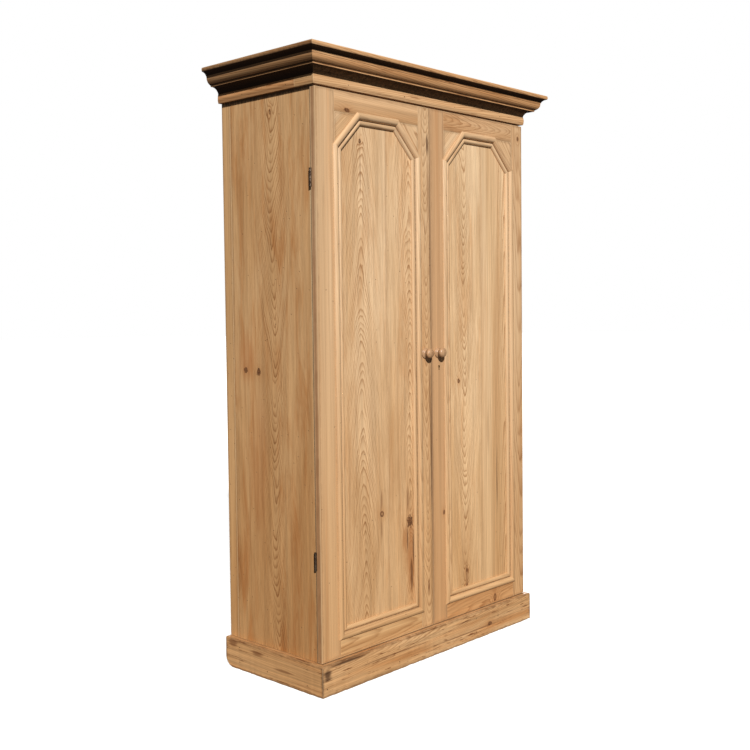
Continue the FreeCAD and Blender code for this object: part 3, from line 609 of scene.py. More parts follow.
# %% Metal finishes
def old_metal(name, bright, dull, rust, rusty=0.5, rough=0.42, metallic=1.0):
    iron = Finish(name)
    cloudy = iron.noise(iron.place, 120.0, 5.0, 0.65, 0.5)
    pitted = iron.noise(iron.place, 900.0, 4.0, 0.7)
    colour = iron.mix(iron.span(cloudy, 0.35, 0.65), bright, dull)
    eaten = iron.times(iron.span(iron.add(cloudy, iron.times(pitted, 0.3)), 0.58, 0.78), rusty)
    colour = iron.mix(eaten, colour, rust)
    roughness = iron.add(iron.times(pitted, 0.25), rough - 0.12)
    roughness = iron.add(roughness, iron.times(eaten, 0.30))
    return iron.dress(colour, roughness, iron.add(pitted, iron.times(eaten, 0.8)), 0.00025,
                      Metallic=metallic)


hinge_iron = old_metal("hinge_iron", srgb(122, 106, 90), srgb(70, 58, 48), srgb(62, 40, 28), 0.6)
screw_iron = old_metal("screw_iron", srgb(140, 122, 100), srgb(86, 72, 58), srgb(70, 46, 32), 0.7)
lock_iron = old_metal("lock_iron", srgb(130, 116, 100), srgb(84, 72, 62), srgb(88, 54, 34), 0.7, 0.5)
black_iron = old_metal("black_iron", srgb(44, 42, 40), srgb(26, 25, 24), srgb(60, 42, 32), 0.2, 0.5,
                       0.35)
brass = old_metal("brass", srgb(224, 190, 116), srgb(168, 132, 70), srgb(98, 70, 36), 0.5, 0.34)
nail_iron = old_metal("nail_iron", srgb(96, 78, 62), srgb(62, 46, 36), srgb(48, 30, 20), 0.7, 0.6)
print("metal finishes made")


# %% [markdown]
# A wooden part that has the right shape already is taken over from the frame as a copy: the
# triangles are merged into clean faces, and the long arrises are eased a little, because no
# hand-planed edge is sharp. Each copy then gets the coordinates of its board, so that the
# rings know which way the tree grew. Colouring the frame's own meshes would be quicker, but
# it leaves razor edges and one grain direction for everything.

# %% Boards: clean copies with eased edges
UP, RIGHT, BACK = Vector((0, 0, 1)), Vector((1, 0, 0)), Vector((0, 1, 0))
PLAIN = (1.0, 1.0, 1.0)
EASE = 0.0011
LONG_EDGE = 0.022
NAIL_ROOM = 0.0008


def empty_shape():
    """A bmesh with the layers that every wooden piece carries, made before any vertex is."""
    shape = bmesh.new()
    for name in ("grain", "low", "high", "tone"):
        shape.verts.layers.float_vector.new(name)
    shape.verts.layers.float.new("soot_and_shade")
    return shape


def clean_copy(node):
    shape = empty_shape()
    shape.from_mesh(nodes[node].data)
    bmesh.ops.remove_doubles(shape, verts=shape.verts, dist=1e-5)
    bmesh.ops.dissolve_limit(shape, angle_limit=math.radians(0.5), verts=shape.verts,
                             edges=shape.edges)
    return shape


def ease_edges(shape, width=EASE):
    """Rounds the arrises, but not the inner corners: a bolt has to fit those."""
    sharp = [e for e in shape.edges if len(e.link_faces) == 2
             and e.calc_length() > LONG_EDGE and e.calc_face_angle_signed(0.0) > math.radians(30)]
    bmesh.ops.bevel(shape, geom=sharp, offset=width, segments=2, profile=0.55,
                    affect="EDGES", clamp_overlap=False)


def thin_the_back(shape):
    """Takes a little off the back face of a back board, so that its nail heads don't stand
    out beyond the armoire."""
    outer = max(v.co.y for v in shape.verts)
    for v in shape.verts:
        if v.co.y > outer - EASE - 0.0001:
            v.co.y -= NAIL_ROOM


def tell(title, made):
    print(title, len(made), "pieces,", sum(len(p.data.polygons) for p in made), "faces")


sample = clean_copy("left_door_hinge_stile")
print("a hinge stile has", len(sample.faces), "merged faces")
sample.free()


# %% Boards: from a shape to a piece that moves with its body
def finish_piece(shape, name, material, body, stands_for, smooth_angle=None):
    """Turns a bmesh into a piece of the armoire that moves with its body."""
    bmesh.ops.recalc_face_normals(shape, faces=shape.faces)
    mesh = bpy.data.meshes.new(name)
    shape.to_mesh(mesh)
    shape.free()
    if smooth_angle:
        mesh.shade_smooth()
        mesh.set_sharp_from_angle(angle=math.radians(smooth_angle))
    else:
        mesh.shade_flat()
    mesh.materials.append(material)
    piece = bpy.data.objects.new(name, mesh)
    scene.collection.objects.link(piece)
    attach(piece, body)
    if stands_for:
        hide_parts(*stands_for)
    return piece


# %% [markdown]
# A board's own coordinates are written on its points as attributes: along the grain, across it
# and behind the show face, measured from the pith of its tree. The seed is the board's name,
# so every board comes from another tree, and it is the same tree each time the script runs.

# %% Boards: which way the tree grew, and dents
def mark_grain(shape, verts, seed, along, face, pith=None, tone=PLAIN):
    """Writes board coordinates on verts: along the grain, across the face, through the board.
    face is the outward normal of the show face; pith is (across, behind the face, taper). The
    taper is 1 for arches that point along the grain and -1 for arches that point against it;
    nearer 0, the grain runs straight."""
    chance = random.Random(seed)
    across = along.cross(face).normalized()
    low = Vector([min(v.co[i] for v in verts) for i in range(3)])
    high = Vector([max(v.co[i] for v in verts) for i in range(3)])
    middle = (low + high) / 2
    shift = chance.uniform(-40.0, 40.0)
    aside = chance.uniform(-0.05, 0.05)
    below = chance.uniform(0.025, 0.09)
    layer = shape.verts.layers.float_vector
    grain, lows, highs, tones = (layer[n] for n in ("grain", "low", "high", "tone"))
    show = max((v.co - middle).dot(face) for v in verts)
    turn = -0.3 if chance.random() < 0.5 else 0.3
    if pith:
        aside, below, turn = pith
    for v in verts:
        p = v.co - middle
        v[grain] = (turn * p.dot(along) + shift, p.dot(across) - aside, show - p.dot(face) + below)
        v[lows] = low
        v[highs] = high
        v[tones] = tone


def knock_about(shape, along, near, depth, step=0.011):
    """Dents the arrises that near() picks: cuts the piece across its length every step, and
    pushes those points inwards by an uneven amount up to depth."""
    low = min(v.co.dot(along) for v in shape.verts)
    high = max(v.co.dot(along) for v in shape.verts)
    for k in range(1, int((high - low) / step)):
        parts = shape.verts[:] + shape.edges[:] + shape.faces[:]
        bmesh.ops.bisect_plane(shape, geom=parts, plane_co=along * (low + k * step),
                               plane_no=along, dist=1e-6)
    for v in shape.verts:
        inward = near(v.co)
        if inward is not None:
            rough = abs(noise.noise(v.co * 38.0)) + 0.5 * abs(noise.noise(v.co * 110.0))
            v.co += inward * min(depth, rough * depth * 1.6)


def board(node, material, along, face, pith=None, tone=PLAIN, worn=None):
    """A board made from its node; worn is (which points give, and how far)."""
    shape = clean_copy(node)
    ease_edges(shape)
    if node.startswith("back_board"):
        thin_the_back(shape)
    if worn:
        knock_about(shape, along, *worn)
    mark_grain(shape, shape.verts[:], node, along, face, pith, tone)
    return finish_piece(shape, node + "_wood", material, nodes[node]["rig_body"], [node])


print("board ready: arrises eased by", EASE * 1000, "mm")


# %% [markdown]
# The carcass: two boarded sides, the bottom, the top, the shelf and the rails. The front board
# of each side is wide and flat sawn, so its arches show; the narrow strip at the back was
# added later and is paler.

# %% Carcass boards: sides and inside
LEFT, FRONT = -RIGHT, -BACK
made = [
    board("left_side_front_board", side_pine, UP, LEFT, (0.010, 0.020, -1)),
    board("left_side_rear_board", side_pine, UP, LEFT, (0.09, 0.03, 0.3),
          (1.10, 1.14, 1.18)),
    board("right_side_front_board", side_pine, UP, RIGHT),
    board("right_side_rear_board", side_pine, UP, RIGHT, tone=(1.05, 1.05, 1.05))]
for node, along, face in (("bottom_board", RIGHT, UP), ("top_board", RIGHT, UP),
                          ("head_rail", RIGHT, FRONT), ("top_front_rail", RIGHT, FRONT),
                          ("hat_shelf", RIGHT, UP), ("left_shelf_bearer", BACK, RIGHT),
                          ("right_shelf_bearer", BACK, LEFT), ("hook_rail", RIGHT, FRONT),
                          ("plinth_packing_rail", RIGHT, FRONT),
                          ("plinth_back_rail", RIGHT, BACK)):
    made.append(board(node, inside_pine, along, face))
tell("sides and inside:", made)


# %% [markdown]
# The plinth is what shoes and brooms hit, so its arrises are dented and not just rounded. A
# bevel would stay too regular: here the board is cut across every centimetre or so, and the
# points of the arris are pushed in by an uneven noise. The back is five tongued boards, each
# a little different in tone, and thinned so that the nail heads stay inside the armoire.

# %% Carcass boards: plinth and back
foot_low, foot_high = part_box("plinth_front")
ARRIS_BAND = 0.0035


def plinth_arris(axis):
    """Says which way a point gives on the plinth face that looks against this axis: the top
    arris gives down and in, the bottom one up and in, and the rest stays."""
    def way_in(p):
        if p[axis] > foot_low[axis] + ARRIS_BAND:
            return None
        if foot_low.z + 0.002 < p.z < foot_high.z - ARRIS_BAND:
            return None
        inward = Vector((0.0, 0.0, -0.7 if p.z > 0.05 else 0.7))
        inward[axis] = 0.7
        return inward
    return way_in


made = [
    board("plinth_front", plinth_pine, RIGHT, FRONT, (-0.06, 0.03, 0.6),
          worn=(plinth_arris(1), 0.0022)),
    board("plinth_left", plinth_pine, BACK, LEFT, (0.08, 0.03, 0.3),
          (0.93, 0.87, 0.79), (plinth_arris(0), 0.0018)),
    board("plinth_right", plinth_pine, BACK, RIGHT)]
for number in range(1, 6):
    level = random.Random(number).uniform(0.86, 1.06)
    made.append(board(f"back_board_{number}", inside_pine, UP, BACK,
                      tone=(level, level * 0.98, level * 0.95)))
tell("plinth and back:", made)


# %% [markdown]
# The doors: stiles and rails round a panel, with a triangular block across each top corner.
# Each of them is a board of its own with its own rings, so the joints show by the change of
# figure, as they do on the real thing. A panel is wider than the tree gave, so it is two
# boards glued edge to edge: the node is copied twice, each copy is cut at the glue line, and
# each half gets its own pith, where one board would show one column of arches only.

# %% Doors: a glued panel
def glued_panel(node, joint_x, piths, tones):
    """A panel of two boards glued edge to edge at joint_x. The piths give their own x."""
    whole = empty_shape()
    for hand, pith, tone in zip((-1, 1), piths, tones):
        shape = clean_copy(node)
        ease_edges(shape)
        parts = shape.verts[:] + shape.edges[:] + shape.faces[:]
        cut = bmesh.ops.bisect_plane(shape, geom=parts, plane_co=(joint_x + hand * 0.0001, 0, 0),
                                     plane_no=(-hand, 0, 0), clear_outer=True)
        rim = [g for g in cut["geom_cut"] if isinstance(g, bmesh.types.BMEdge)]
        bmesh.ops.edgeloop_fill(shape, edges=rim)
        xs = [v.co.x for v in shape.verts]
        aside = pith[0] - (min(xs) + max(xs)) / 2
        mark_grain(shape, shape.verts[:], f"{node} {hand}", UP, FRONT, (aside, *pith[1:]), tone)
        half = bpy.data.meshes.new("half")
        shape.to_mesh(half)
        shape.free()
        whole.from_mesh(half)
        bpy.data.meshes.remove(half)
    return finish_piece(whole, node + "_wood", panel_pine, nodes[node]["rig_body"],
                        [node])


print("glue line ready")


# %% [markdown]
# Which boards show arches and which run straight is the maker's choice of timber, so it is
# kept in three small tables: the tone of a board, its pith, and the two boards of each panel.

# %% Doors: frames, panels and corner blocks
DOOR_TONES = {"left_meeting_stile": (1.03, 1.02, 1.0), "right_meeting_stile": (0.92, 0.86, 0.82),
              "left_top_rail": (0.94, 0.88, 0.82), "right_top_rail": (0.95, 0.90, 0.86),
              "left_bottom_rail": (1.08, 1.10, 1.08), "right_bottom_rail": (1.0, 0.92, 0.84)}
DOOR_PITHS = {"left_hinge_stile": (0.14, 0.03, 0.2), "left_meeting_stile": (0.004, 0.012, -1),
              "right_meeting_stile": (0.09, 0.03, 0.2), "left_top_rail": (0.10, 0.03, 0.3),
              "right_top_rail": (-0.01, 0.016, 1)}
DOOR_PANELS = {
    "left": (-0.215, ((-0.338, 0.018, 1), (-0.104, 0.016, 1)), (PLAIN, (0.98, 0.96, 0.93))),
    "right": (0.292, ((0.189, 0.018, -1), (0.45, 0.04, 0.3)),
              ((1.07, 1.09, 1.10), (1.04, 1.06, 1.07)))}
made = []
for side in ("left", "right"):
    for part, along in (("hinge_stile", UP), ("meeting_stile", UP), ("top_rail", RIGHT),
                        ("bottom_rail", RIGHT)):
        own = f"{side}_{part}"
        made.append(board(f"{side}_door_{part}", door_frame_pine, along, FRONT,
                          DOOR_PITHS.get(own), DOOR_TONES.get(own, PLAIN)))
    made.append(glued_panel(f"{side}_door_panel", *DOOR_PANELS[side]))

    shape = clean_copy(f"{side}_door_corner_blocks")
    ease_edges(shape)
    low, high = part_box(f"{side}_door_corner_blocks")
    centre = (low.x + high.x) / 2
    for hand in (-1, 1):
        block = [v for v in shape.verts if (v.co.x - centre) * hand > 0]
        mark_grain(shape, block, f"{side} block {hand}", Vector((-hand, 0, 1)).normalized(),
                   FRONT, (0.05, 0.03, 0.3), (1.04, 1.05, 1.06))
    made.append(finish_piece(shape, f"{side}_door_corner_blocks_wood", door_frame_pine,
                             f"{side}_door", [f"{side}_door_corner_blocks"]))
tell("doors:", made)


# %% [markdown]
# Mouldings are long pieces with one section, cut to a mitre at each end. Sweeping a curve
# along a path would smear the corners, so each length is drawn between two mitre lines: a
# point of the section that lies further in simply starts further along the mitre. The same
# function makes the lengths round the panels and those of the cornice.

# %% Lengths of moulding
def arc_points(a, middle, b, steps):
    """Points on the circle through a, middle and b, from a to b."""
    (ax, ay), (mx, my), (bx, by) = a, middle, b
    d = 2 * (ax * (my - by) + mx * (by - ay) + bx * (ay - my))
    sa, sm, sb = ax * ax + ay * ay, mx * mx + my * my, bx * bx + by * by
    cx = (sa * (my - by) + sm * (by - ay) + sb * (ay - my)) / d
    cy = (sa * (bx - mx) + sm * (ax - bx) + sb * (mx - ax)) / d
    start = math.atan2(ay - cy, ax - cx)
    mid = (math.atan2(my - cy, mx - cx) - start) % math.tau
    sweep = (math.atan2(by - cy, bx - cx) - start) % math.tau
    if mid > sweep:
        sweep -= math.tau
    r = math.hypot(ax - cx, ay - cy)
    return [(cx + r * math.cos(start + sweep * k / steps),
             cy + r * math.sin(start + sweep * k / steps)) for k in range(steps + 1)]


def skin(shape, rings):
    """Joins each ring of points to the next one with faces. A ring of one point is a pole."""
    for near, far in zip(rings, rings[1:]):
        count = max(len(near), len(far))
        for k in range(count):
            n = (k + 1) % count
            if len(near) == 1:
                shape.faces.new((near[0], far[n], far[k]))
            elif len(far) == 1:
                shape.faces.new((near[k], near[n], far[0]))
            else:
                shape.faces.new((near[k], near[n], far[n], far[k]))


def length_of_moulding(shape, section, start, end, into, up, mitre_start, mitre_end, seed,
                       tone=PLAIN, stations=24):
    """One closed length. section is [(in, up, darkening)]: the darkening is soot, and on the
    cornice painted shade as well; mitre_* say how far a point that lies one further in moves along
    the length at that end."""
    run = (end - start).normalized()
    span = (end - start).length
    soot_and_shade = shape.verts.layers.float["soot_and_shade"]
    rings = []
    for k in range(stations + 1):
        ring = []
        for inward, rise, darkening in section:
            first = inward * mitre_start
            last = span - inward * mitre_end
            place = start + run * (first + (last - first) * k / stations) + into * inward + up * rise
            v = shape.verts.new(place)
            v[soot_and_shade] = darkening
            ring.append(v)
        rings.append(ring)
    skin(shape, rings)
    shape.faces.new(rings[0])
    shape.faces.new(list(reversed(rings[-1])))
    verts = [v for ring in rings for v in ring]
    face = (up + into * -0.4).normalized() if abs(up.z) > 0.5 else up
    mark_grain(shape, verts, seed, run, face, None, tone)


quarter = arc_points((1.0, 0.0), (math.sqrt(0.5), math.sqrt(0.5)), (0.0, 1.0), 4)
print("a quarter round in four steps:", [(round(x, 2), round(y, 2)) for x, y in quarter])


# %% [markdown]
# The moulding round each panel is a fat round, a quirk (the narrow groove beside it) and a flat
# bead, and it runs round the six sides of the canted panel. Its rise and its cants are read
# from the frame's node, so it sits exactly where the plain one did, and old dirt is marked in
# its quirk and corners, where a duster doesn't reach.

# %% Mouldings round the panels
def with_soot(points, first, last):
    """Clean points of a section, apart from its two ends."""
    clean = [(x, y, 0.0) for x, y in points]
    clean[0] = (*points[0], first)
    clean[-1] = (*points[-1], last)
    return clean


def panel_moulding_section(rise, recess):
    """(in, up, soot) from the outer edge of the round to the panel, then back underneath."""
    torus, quirk, width, bead_rise, lap = 0.0225, 0.004, 0.040, 0.001, 0.008
    outer = arc_points((0.0, 0.001), (0.48 * torus, rise), (torus, -0.001), 14)
    foot = torus + 0.002
    inner = arc_points((foot, -quirk), (foot + 0.45 * (width - foot), bead_rise),
                       (width, -recess), 12)
    return ([(0.0, 0.0, 0.35)] + with_soot(outer, 0.25, 0.25)
            + [(torus + 0.0005, -quirk, 0.50)] + with_soot(inner, 0.45, 0.40)
            + [(lap, -recess, 0.2), (lap, 0.0, 0.2)])


def cant_of(node, low, high):
    """The leg of the canted corners, read from the outer corners of the moulding."""
    top = [v.co.x for v in nodes[node].data.vertices if v.co.z > high.z - 1e-4]
    return min(top) - low.x, high.x - max(top)


made = []
for side in ("left", "right"):
    node = f"{side}_door_panel_moulding"
    low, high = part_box(node)
    face_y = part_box(f"{side}_door_hinge_stile")[0].y
    rise, recess = face_y - low.y, high.y - face_y
    cant_left, cant_right = cant_of(node, low, high)
    corners = [(low.x, low.z), (high.x, low.z), (high.x, high.z - cant_right),
               (high.x - cant_right, high.z), (low.x + cant_left, high.z),
               (low.x, high.z - cant_left)]
    corners = [Vector((x, face_y, z)) for x, z in corners]
    shape = empty_shape()
    section = panel_moulding_section(rise, recess)
    for k in range(6):
        before, a, b, after = (corners[(k + n) % 6] for n in (-1, 0, 1, 2))
        turn_a = (a - before).angle(b - a)
        turn_b = (b - a).angle(after - b)
        run = (b - a).normalized()
        into = Vector((-run.z, 0, run.x))
        length_of_moulding(shape, section, a, b, into, FRONT, math.tan(turn_a / 2),
                           math.tan(turn_b / 2), f"{side} moulding {k}",
                           (random.Random(k).uniform(0.96, 1.05),) * 3)
    made.append(finish_piece(shape, f"{side}_door_moulding_lengths", moulding_pine,
                             f"{side}_door", [node], 40))
    print(side, "moulding rise", round(rise * 1000, 1), "recess", round(recess * 1000, 1),
          "cants", round(cant_left * 1000), round(cant_right * 1000))
tell("panel mouldings:", made)


# %% [markdown]
# The cornice has a plain strip below, and above it a cove, a fillet, a round, a second cove and
# a top fillet. Generations of lamp soot and polish sit in the coves, while the rounds and
# fillets have been wiped pale. The coves and a line under the round are darkened further as
# painted shade, and the whole left side more than the front. That darkening follows the section,
# so it is stored point by point on the section and only roughened by the shader.

# %% Cornice and frieze: the sections
strip_low, strip_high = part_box("frieze_front")
crown_low, crown_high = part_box("cornice_front")
side_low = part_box("left_side_front_board")[0]
reach = side_low.x - crown_low.x
strip_thick = side_low.x - strip_low.x
crown_tall = crown_high.z - crown_low.z
cornice_back = crown_low.y + reach
wall_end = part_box("cornice_left")[1].y
STRIP_SWELL = 0.0025
print("crown", round(crown_tall * 1000), "mm tall, reaches out", round(reach * 1000), "mm")


def crown_section():
    """(out, up, darkening) from the foot up: cove, fillet, round, cove and top fillet. The
    darkening is old soot in the coves and painted shade where shade falls: in the coves and in a
    line under the round. The fillet stands just far enough out to catch the light below the round."""
    w, h = reach, crown_tall
    foot = strip_thick - STRIP_SWELL
    step = foot + 0.46 * (w - foot)
    swell = foot + 0.70 * (w - foot)
    nose = w - 0.0015
    section = [(0.0, 0.0, 0.3), (foot, 0.0, 0.5)]

    def curve(a, middle, b, steps, darkening):
        points = arc_points(a, middle, b, steps)
        for k, (x, y) in enumerate(points[1:], 1):
            section.append((x, y, darkening(k / steps)))

    curve((foot, 0.0), (foot + 0.008, 0.18 * h), (step, 0.26 * h), 14,
          lambda t: 0.50 + 0.55 * t)
    section.append((step, 0.262 * h, 0.10))
    section.append((step, 0.31 * h, 0.0))
    section.append((step + 0.004, 0.34 * h, 0.9))
    curve((step + 0.004, 0.34 * h), (swell - 0.004, 0.435 * h), (swell, 0.56 * h), 12,
          lambda t: max(0.0, 0.60 - 3.0 * t))
    section.append((swell, 0.588 * h, 0.10))
    section.append((swell, 0.60 * h, 0.85))
    curve((swell, 0.60 * h), (swell + 0.0055, 0.75 * h), (nose, 0.835 * h), 14,
          lambda t: 0.10 if t < 0.25 else (0.95 if t < 0.95 else 0.6))
    curve((nose, 0.835 * h), (w, 0.92 * h), (nose, h), 6, lambda t: 0.34 - 0.26 * t)
    section += [(nose - 0.024, h, 0.4), (0.0, 0.024, 0.4)]
    return [(-x, y, s) for x, y, s in section]


def strip_section():
    """The plain strip below the crown, with a slightly swelling face."""
    h = strip_high.z - strip_low.z
    face = strip_thick - STRIP_SWELL
    swelled = arc_points((face, 0.0), (strip_thick, 0.45 * h), (face, h), 10)
    section = [(0.0, 0.0, 0.3)] + with_soot(swelled, 0.22, 0.30) + [(0.0, h, 0.3)]
    return [(-x, y, s) for x, y, s in section]


# %% [markdown]
# The cornice goes round three sides. The front length meets the returns in mitres, and the
# returns are cut square at the wall. The left frieze strip was mended once with a paler piece,
# so that length is drawn in two parts with a fine joint between them.

# %% Cornice and frieze: the three lengths
def ring_of_moulding(section, foot_z, names, nodes_stood_for, tones, repair_y=None,
                     darkening=(1.5, 0.80, 1.0)):
    """Left, front and right length, mitred at the front corners. Where repair_y is given, the
    left one ends there and a paler length fills the rest. The last argument scales the soot and
    painted shade of each length: most on the shaded left side, least on the lit front."""
    half = -side_low.x
    corner = [Vector((-half, wall_end, foot_z)), Vector((-half, cornice_back, foot_z)),
              Vector((half, cornice_back, foot_z)), Vector((half, wall_end, foot_z))]
    ends = ((0.0, 1.0), (1.0, 1.0), (1.0, 0.0))
    result = []
    for k, name in enumerate(names):
        shape = empty_shape()
        a, b = corner[k], corner[k + 1]
        run = (b - a).normalized()
        into = UP.cross(run)
        profile = [(x, y, soot_and_shade * darkening[k]) for x, y, soot_and_shade in section]
        if repair_y is not None and k == 0:
            cut = Vector((a.x, repair_y, a.z))
            length_of_moulding(shape, profile, cut, b, into, UP, 0.0, ends[k][1], "repair",
                               (1.25, 1.28, 1.25), 12)
            b = cut + run * -0.0003
            ends = ((0.0, 0.0), *ends[1:])
        length_of_moulding(shape, profile, a, b, into, UP, ends[k][0], ends[k][1], name, tones[k],
                           48)
        result.append(finish_piece(shape, name, cornice_pine, "carcass",
                                   [nodes_stood_for[k]], 35))
    return result


# The crown's tones are painted light too: the left length is toned darker as the shaded side, and the
# front length lighter as the lit side.
made = ring_of_moulding(crown_section(), crown_low.z,
                        ("crown_left_length", "crown_front_length", "crown_right_length"),
                        ("cornice_left", "cornice_front", "cornice_right"),
                        ((0.78, 0.76, 0.74), (1.42, 1.42, 1.42), (1.0, 1.0, 1.0)))
made += ring_of_moulding(strip_section(), strip_low.z,
                         ("frieze_left_strip", "frieze_front_strip", "frieze_right_strip"),
                         ("frieze_left", "frieze_front", "frieze_right"),
                         ((1.05, 0.92, 0.80), (1.40, 1.45, 1.50), (1.1, 1.0, 1.0)), -0.112)
tell("cornice:", made)


# %% [markdown]
# The knobs are turned in one piece: a round foot, a thin neck and a mushroom head. A lathe does
# with a gouge what spinning a section does here, so the section is drawn from the door outwards
# and turned about the knob's own axis.

# %% Turned knobs
def turned_knob(side):
    node = f"{side}_door_knob"
    low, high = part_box(node)
    door_low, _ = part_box(f"{side}_door_meeting_stile")
    centre = Vector(((low.x + high.x) / 2, door_low.y, (low.z + high.z) / 2))
    stand = door_low.y - low.y
    foot = (high.x - low.x) / 2
    head, neck = 0.917 * foot, 0.583 * foot
    section = [(0.0, -0.012), (0.006, -0.012), (0.006, 0.0), (foot - 0.0008, 0.0)]
    section += arc_points((foot - 0.0008, 0.0), (foot, 0.07 * stand), (foot - 0.0012, 0.13 * stand),
                          6)[1:]
    section += [(foot - 0.0028, 0.145 * stand), (foot - 0.0034, 0.165 * stand)]
    section += arc_points((foot - 0.0034, 0.165 * stand), (neck - 0.0003, 0.34 * stand),
                          (neck + 0.002, 0.49 * stand), 12)[1:]
    section += arc_points((neck + 0.002, 0.49 * stand), (head, 0.69 * stand),
                          (0.70 * head, 0.925 * stand), 16)[1:]
    section += arc_points((0.70 * head, 0.925 * stand), (0.36 * head, 0.981 * stand),
                          (0.0, stand), 10)[1:]
    shape = empty_shape()
    count = 56
    rings = []
    for radius, out in section:
        if radius < 1e-6:
            rings.append([shape.verts.new(centre + FRONT * out)])
            continue
        rings.append([shape.verts.new(centre + FRONT * out
                                      + RIGHT * radius * math.cos(math.tau * k / count)
                                      + UP * radius * math.sin(math.tau * k / count))
                      for k in range(count)])
    skin(shape, rings)
    mark_grain(shape, shape.verts[:], side + " knob", UP, FRONT, (0.004, 0.006, 1))
    soot_and_shade = shape.verts.layers.float["soot_and_shade"]
    for v in shape.verts:
        out = (door_low.y - v.co.y) / stand
        v[soot_and_shade] = 0.55 * max(0.0, 1.0 - abs(out - 0.36) / 0.16) + (0.35 if out < 0.04 else 0.0)
    return finish_piece(shape, f"{side}_door_turned_knob", knob_pine, f"{side}_door",
                        [node], 35)


tell("knobs:", [turned_knob("left"), turned_knob("right")])


# %% [markdown]
# The ironwork keeps the frame's own shapes, because hinges, lock and bolts are exact there.
# Each node only swaps its plain material for the worn one.

# %% Ironwork
IRONWORK = {
    hinge_iron: ("left_side_hinge_leaves", "right_side_hinge_leaves", "left_door_hinge_leaves",
                 "right_door_hinge_leaves", "hinge_pins"),
    screw_iron: ("side_hinge_screws", "left_door_hinge_screws", "right_door_hinge_screws"),
    lock_iron: ("lock_case", "bolt_cases", "upper_bolt", "lower_bolt"),
    brass: ("strike_plate", "lock_bolt"),
    black_iron: ("coat_hooks",),
}
for finish, names in IRONWORK.items():
    for name in names:
        nodes[name].data.materials.clear()
        nodes[name].data.materials.append(finish)
print("ironwork:", sum(len(n) for n in IRONWORK.values()), "nodes")


# %% [markdown]
# Nail heads repeat, so Geometry Nodes set them: a row of bare points carries the way each nail
# faces, and one flattened ball is put on every point, turned to that way and varied a little
# in size. Copying heads by hand would work for three nails, but not for a hundred, and here one
# number changes them all. The heads are made real at the end, because instances don't export.

# %% Nail heads: the node tree
def nail_tree():
    tree = bpy.data.node_groups.new("nail_heads", "GeometryNodeTree")
    for label, kind in (("Geometry", "NodeSocketGeometry"), ("Head Radius", "NodeSocketFloat"),
                        ("Flatness", "NodeSocketFloat"), ("Seed", "NodeSocketInt"),
                        ("Iron", "NodeSocketMaterial")):
        tree.interface.new_socket(label, in_out="INPUT", socket_type=kind)
    tree.interface.new_socket("Geometry", in_out="OUTPUT", socket_type="NodeSocketGeometry")

    def add(kind, **settings):
        made = tree.nodes.new(kind)
        for key, value in settings.items():
            setattr(made, key, value)
        return made

    given, result = add("NodeGroupInput"), add("NodeGroupOutput")
    ball = add("GeometryNodeMeshUVSphere")
    ball.inputs["Segments"].default_value = 12
    ball.inputs["Rings"].default_value = 8
    flatten = add("GeometryNodeTransform")
    squash = add("ShaderNodeCombineXYZ")
    squash.inputs[0].default_value = squash.inputs[1].default_value = 1.0
    facing = add("GeometryNodeInputNamedAttribute", data_type="FLOAT_VECTOR")
    facing.inputs["Name"].default_value = "facing"
    aim = add("FunctionNodeAlignRotationToVector", axis="Z")
    spread = add("FunctionNodeRandomValue", data_type="FLOAT")
    spread.inputs[2].default_value, spread.inputs[3].default_value = 0.8, 1.15
    place = add("GeometryNodeInstanceOnPoints")
    real, dress = add("GeometryNodeRealizeInstances"), add("GeometryNodeSetMaterial")
    link = tree.links.new
    link(given.outputs["Head Radius"], ball.inputs["Radius"])
    link(given.outputs["Flatness"], squash.inputs[2])
    link(ball.outputs["Mesh"], flatten.inputs["Geometry"])
    link(squash.outputs[0], flatten.inputs["Scale"])
    link(given.outputs["Geometry"], place.inputs["Points"])
    link(flatten.outputs["Geometry"], place.inputs["Instance"])
    link(facing.outputs["Attribute"], aim.inputs["Vector"])
    link(aim.outputs["Rotation"], place.inputs["Rotation"])
    link(given.outputs["Seed"], spread.inputs["Seed"])
    link(spread.outputs[1], place.inputs["Scale"])
    link(place.outputs["Instances"], real.inputs["Geometry"])
    link(real.outputs["Geometry"], dress.inputs["Geometry"])
    link(given.outputs["Iron"], dress.inputs["Material"])
    link(dress.outputs["Geometry"], result.inputs["Geometry"])
    return tree


nail_heads = nail_tree()
print("nail tree:", len(nail_heads.nodes), "nodes")


# %% [markdown]
# On the real piece, nails hold the frieze, the plinth and the back boards, and fine pins hold
# the mouldings. Their shanks never show, so each nail is only a point and a direction. Frieze
# nails and pins are evenly spaced, with half a gap at the ends of a row; the others stand
# where the boards need them.

# %% Nail heads: setting a row
def drive_nails(name, body, places, radius, flatness, seed):
    """places is [(point, facing)]. Returns one plain mesh of all the heads."""
    mesh = bpy.data.meshes.new(name + "_points")
    mesh.from_pydata([p for p, _ in places], [], [])
    facing = mesh.attributes.new("facing", "FLOAT_VECTOR", "POINT")
    for item, (_, way) in zip(facing.data, places):
        item.vector = way
    row = bpy.data.objects.new(name + "_points", mesh)
    scene.collection.objects.link(row)
    modifier = row.modifiers.new("nails", "NODES")
    modifier.node_group = nail_heads
    sizes = {"Head Radius": radius, "Flatness": flatness, "Seed": seed, "Iron": nail_iron}
    for item in nail_heads.interface.items_tree:
        if item.in_out == "INPUT" and item.name in sizes:
            modifier[item.identifier] = sizes[item.name]
    graph = bpy.context.evaluated_depsgraph_get()
    solid = bpy.data.meshes.new_from_object(row.evaluated_get(graph))
    bpy.data.objects.remove(row)
    solid.name = name
    solid.shade_smooth()
    nails = bpy.data.objects.new(name, solid)
    scene.collection.objects.link(nails)
    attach(nails, body)
    return nails


def spaced(low, high, count):
    """count places between low and high, with half a gap at each end."""
    return [low + (high - low) * (k + 0.5) / count for k in range(count)]


print("nails of", nail_iron.name)


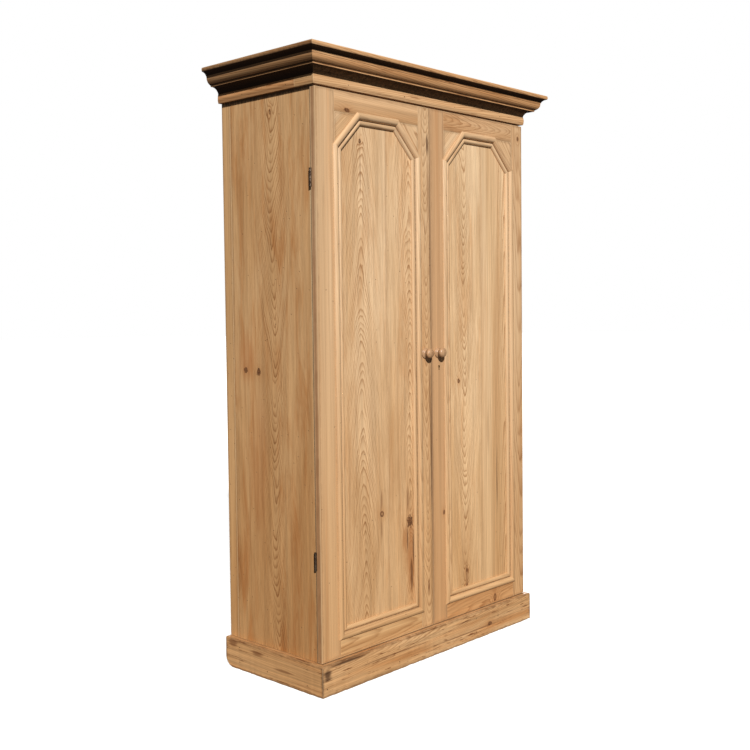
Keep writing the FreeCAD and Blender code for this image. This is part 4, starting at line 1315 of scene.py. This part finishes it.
# %% Nail heads: carcass, back and mouldings
PROUD = 0.0002
carcass_nails = []
for x in spaced(strip_low.x + 0.02, strip_high.x - 0.02, 4):
    carcass_nails.append(((x, strip_low.y + PROUD, strip_low.z + 0.014), FRONT))
for y in spaced(strip_low.y + 0.02, wall_end - 0.02, 2):
    carcass_nails.append(((strip_low.x + PROUD, y, strip_low.z + 0.013), LEFT))
    carcass_nails.append(((-strip_low.x - PROUD, y, strip_low.z + 0.013), RIGHT))
for z in (0.026, 0.076):
    for x in (-0.538, -0.20, 0.22, 0.538):
        carcass_nails.append(((x, foot_low.y + PROUD, z), FRONT))
    for y in (-0.14, 0.05, 0.19):
        carcass_nails.append(((foot_low.x + PROUD, y, z), LEFT))
        carcass_nails.append(((-foot_low.x - PROUD, y, z), RIGHT))
back_nails = []
for number in range(1, 6):
    low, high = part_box(f"back_board_{number}")
    for z in (low.z + 0.10, 1.677, high.z - 0.09):
        for x in (low.x + 0.045, high.x - 0.050):
            back_nails.append(((x, high.y - NAIL_ROOM, z), BACK))
tell("nails:", [drive_nails("carcass_nail_heads", "carcass", carcass_nails, 0.0017, 0.3, 5),
                drive_nails("back_nail_heads", "carcass", back_nails, 0.0027, 0.25, 6)])

for side in ("left", "right"):
    low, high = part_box(f"{side}_door_panel_moulding")
    pins = []
    for z in spaced(low.z + 0.04, high.z - 0.14, 8):
        pins += [((low.x + 0.0108, low.y + PROUD, z), FRONT),
                 ((high.x - 0.0108, low.y + PROUD, z + 0.03), FRONT)]
    for x in spaced(low.x + 0.04, high.x - 0.04, 3):
        pins.append(((x, low.y + PROUD, low.z + 0.0108), FRONT))
    tell("pins:", [drive_nails(f"{side}_door_moulding_pins", f"{side}_door", pins, 0.0011, 0.3, 8)])


# %% [markdown]
# The keyhole has a thin brass lining, let in almost flush. It is the keyhole's own outline drawn
# twice, the second time a little smaller, with walls between the two.

# %% Keyhole lining
def keyhole_outline(radius, half_slot, drop):
    """A circle that runs into a slot below it, in (x, z) about the circle's centre."""
    start = math.asin(half_slot / radius)
    points = [(radius * math.sin(a), -radius * math.cos(a))
              for a in (start + (math.tau - 2 * start) * k / 40 for k in range(41))]
    return points + [(-half_slot, -drop), (half_slot, -drop)]


def keyhole_lining():
    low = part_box("right_door_meeting_stile")[0]
    centre = Vector((low.x + 0.0395, low.y, 1.002))
    shape = bmesh.new()
    rings = []
    for trim, y in ((0.0001, -0.0002), (0.0009, -0.0002), (0.0009, 0.0035), (0.0001, 0.0035)):
        outline = keyhole_outline(0.0046 - trim, 0.0020 - trim, 0.012 - trim)
        rings.append([shape.verts.new(centre + Vector((x, y, z))) for x, z in outline])
    skin(shape, rings + rings[:1])
    return finish_piece(shape, "keyhole_lining", brass, "right_door", [], 40)


tell("keyhole:", [keyhole_lining()])
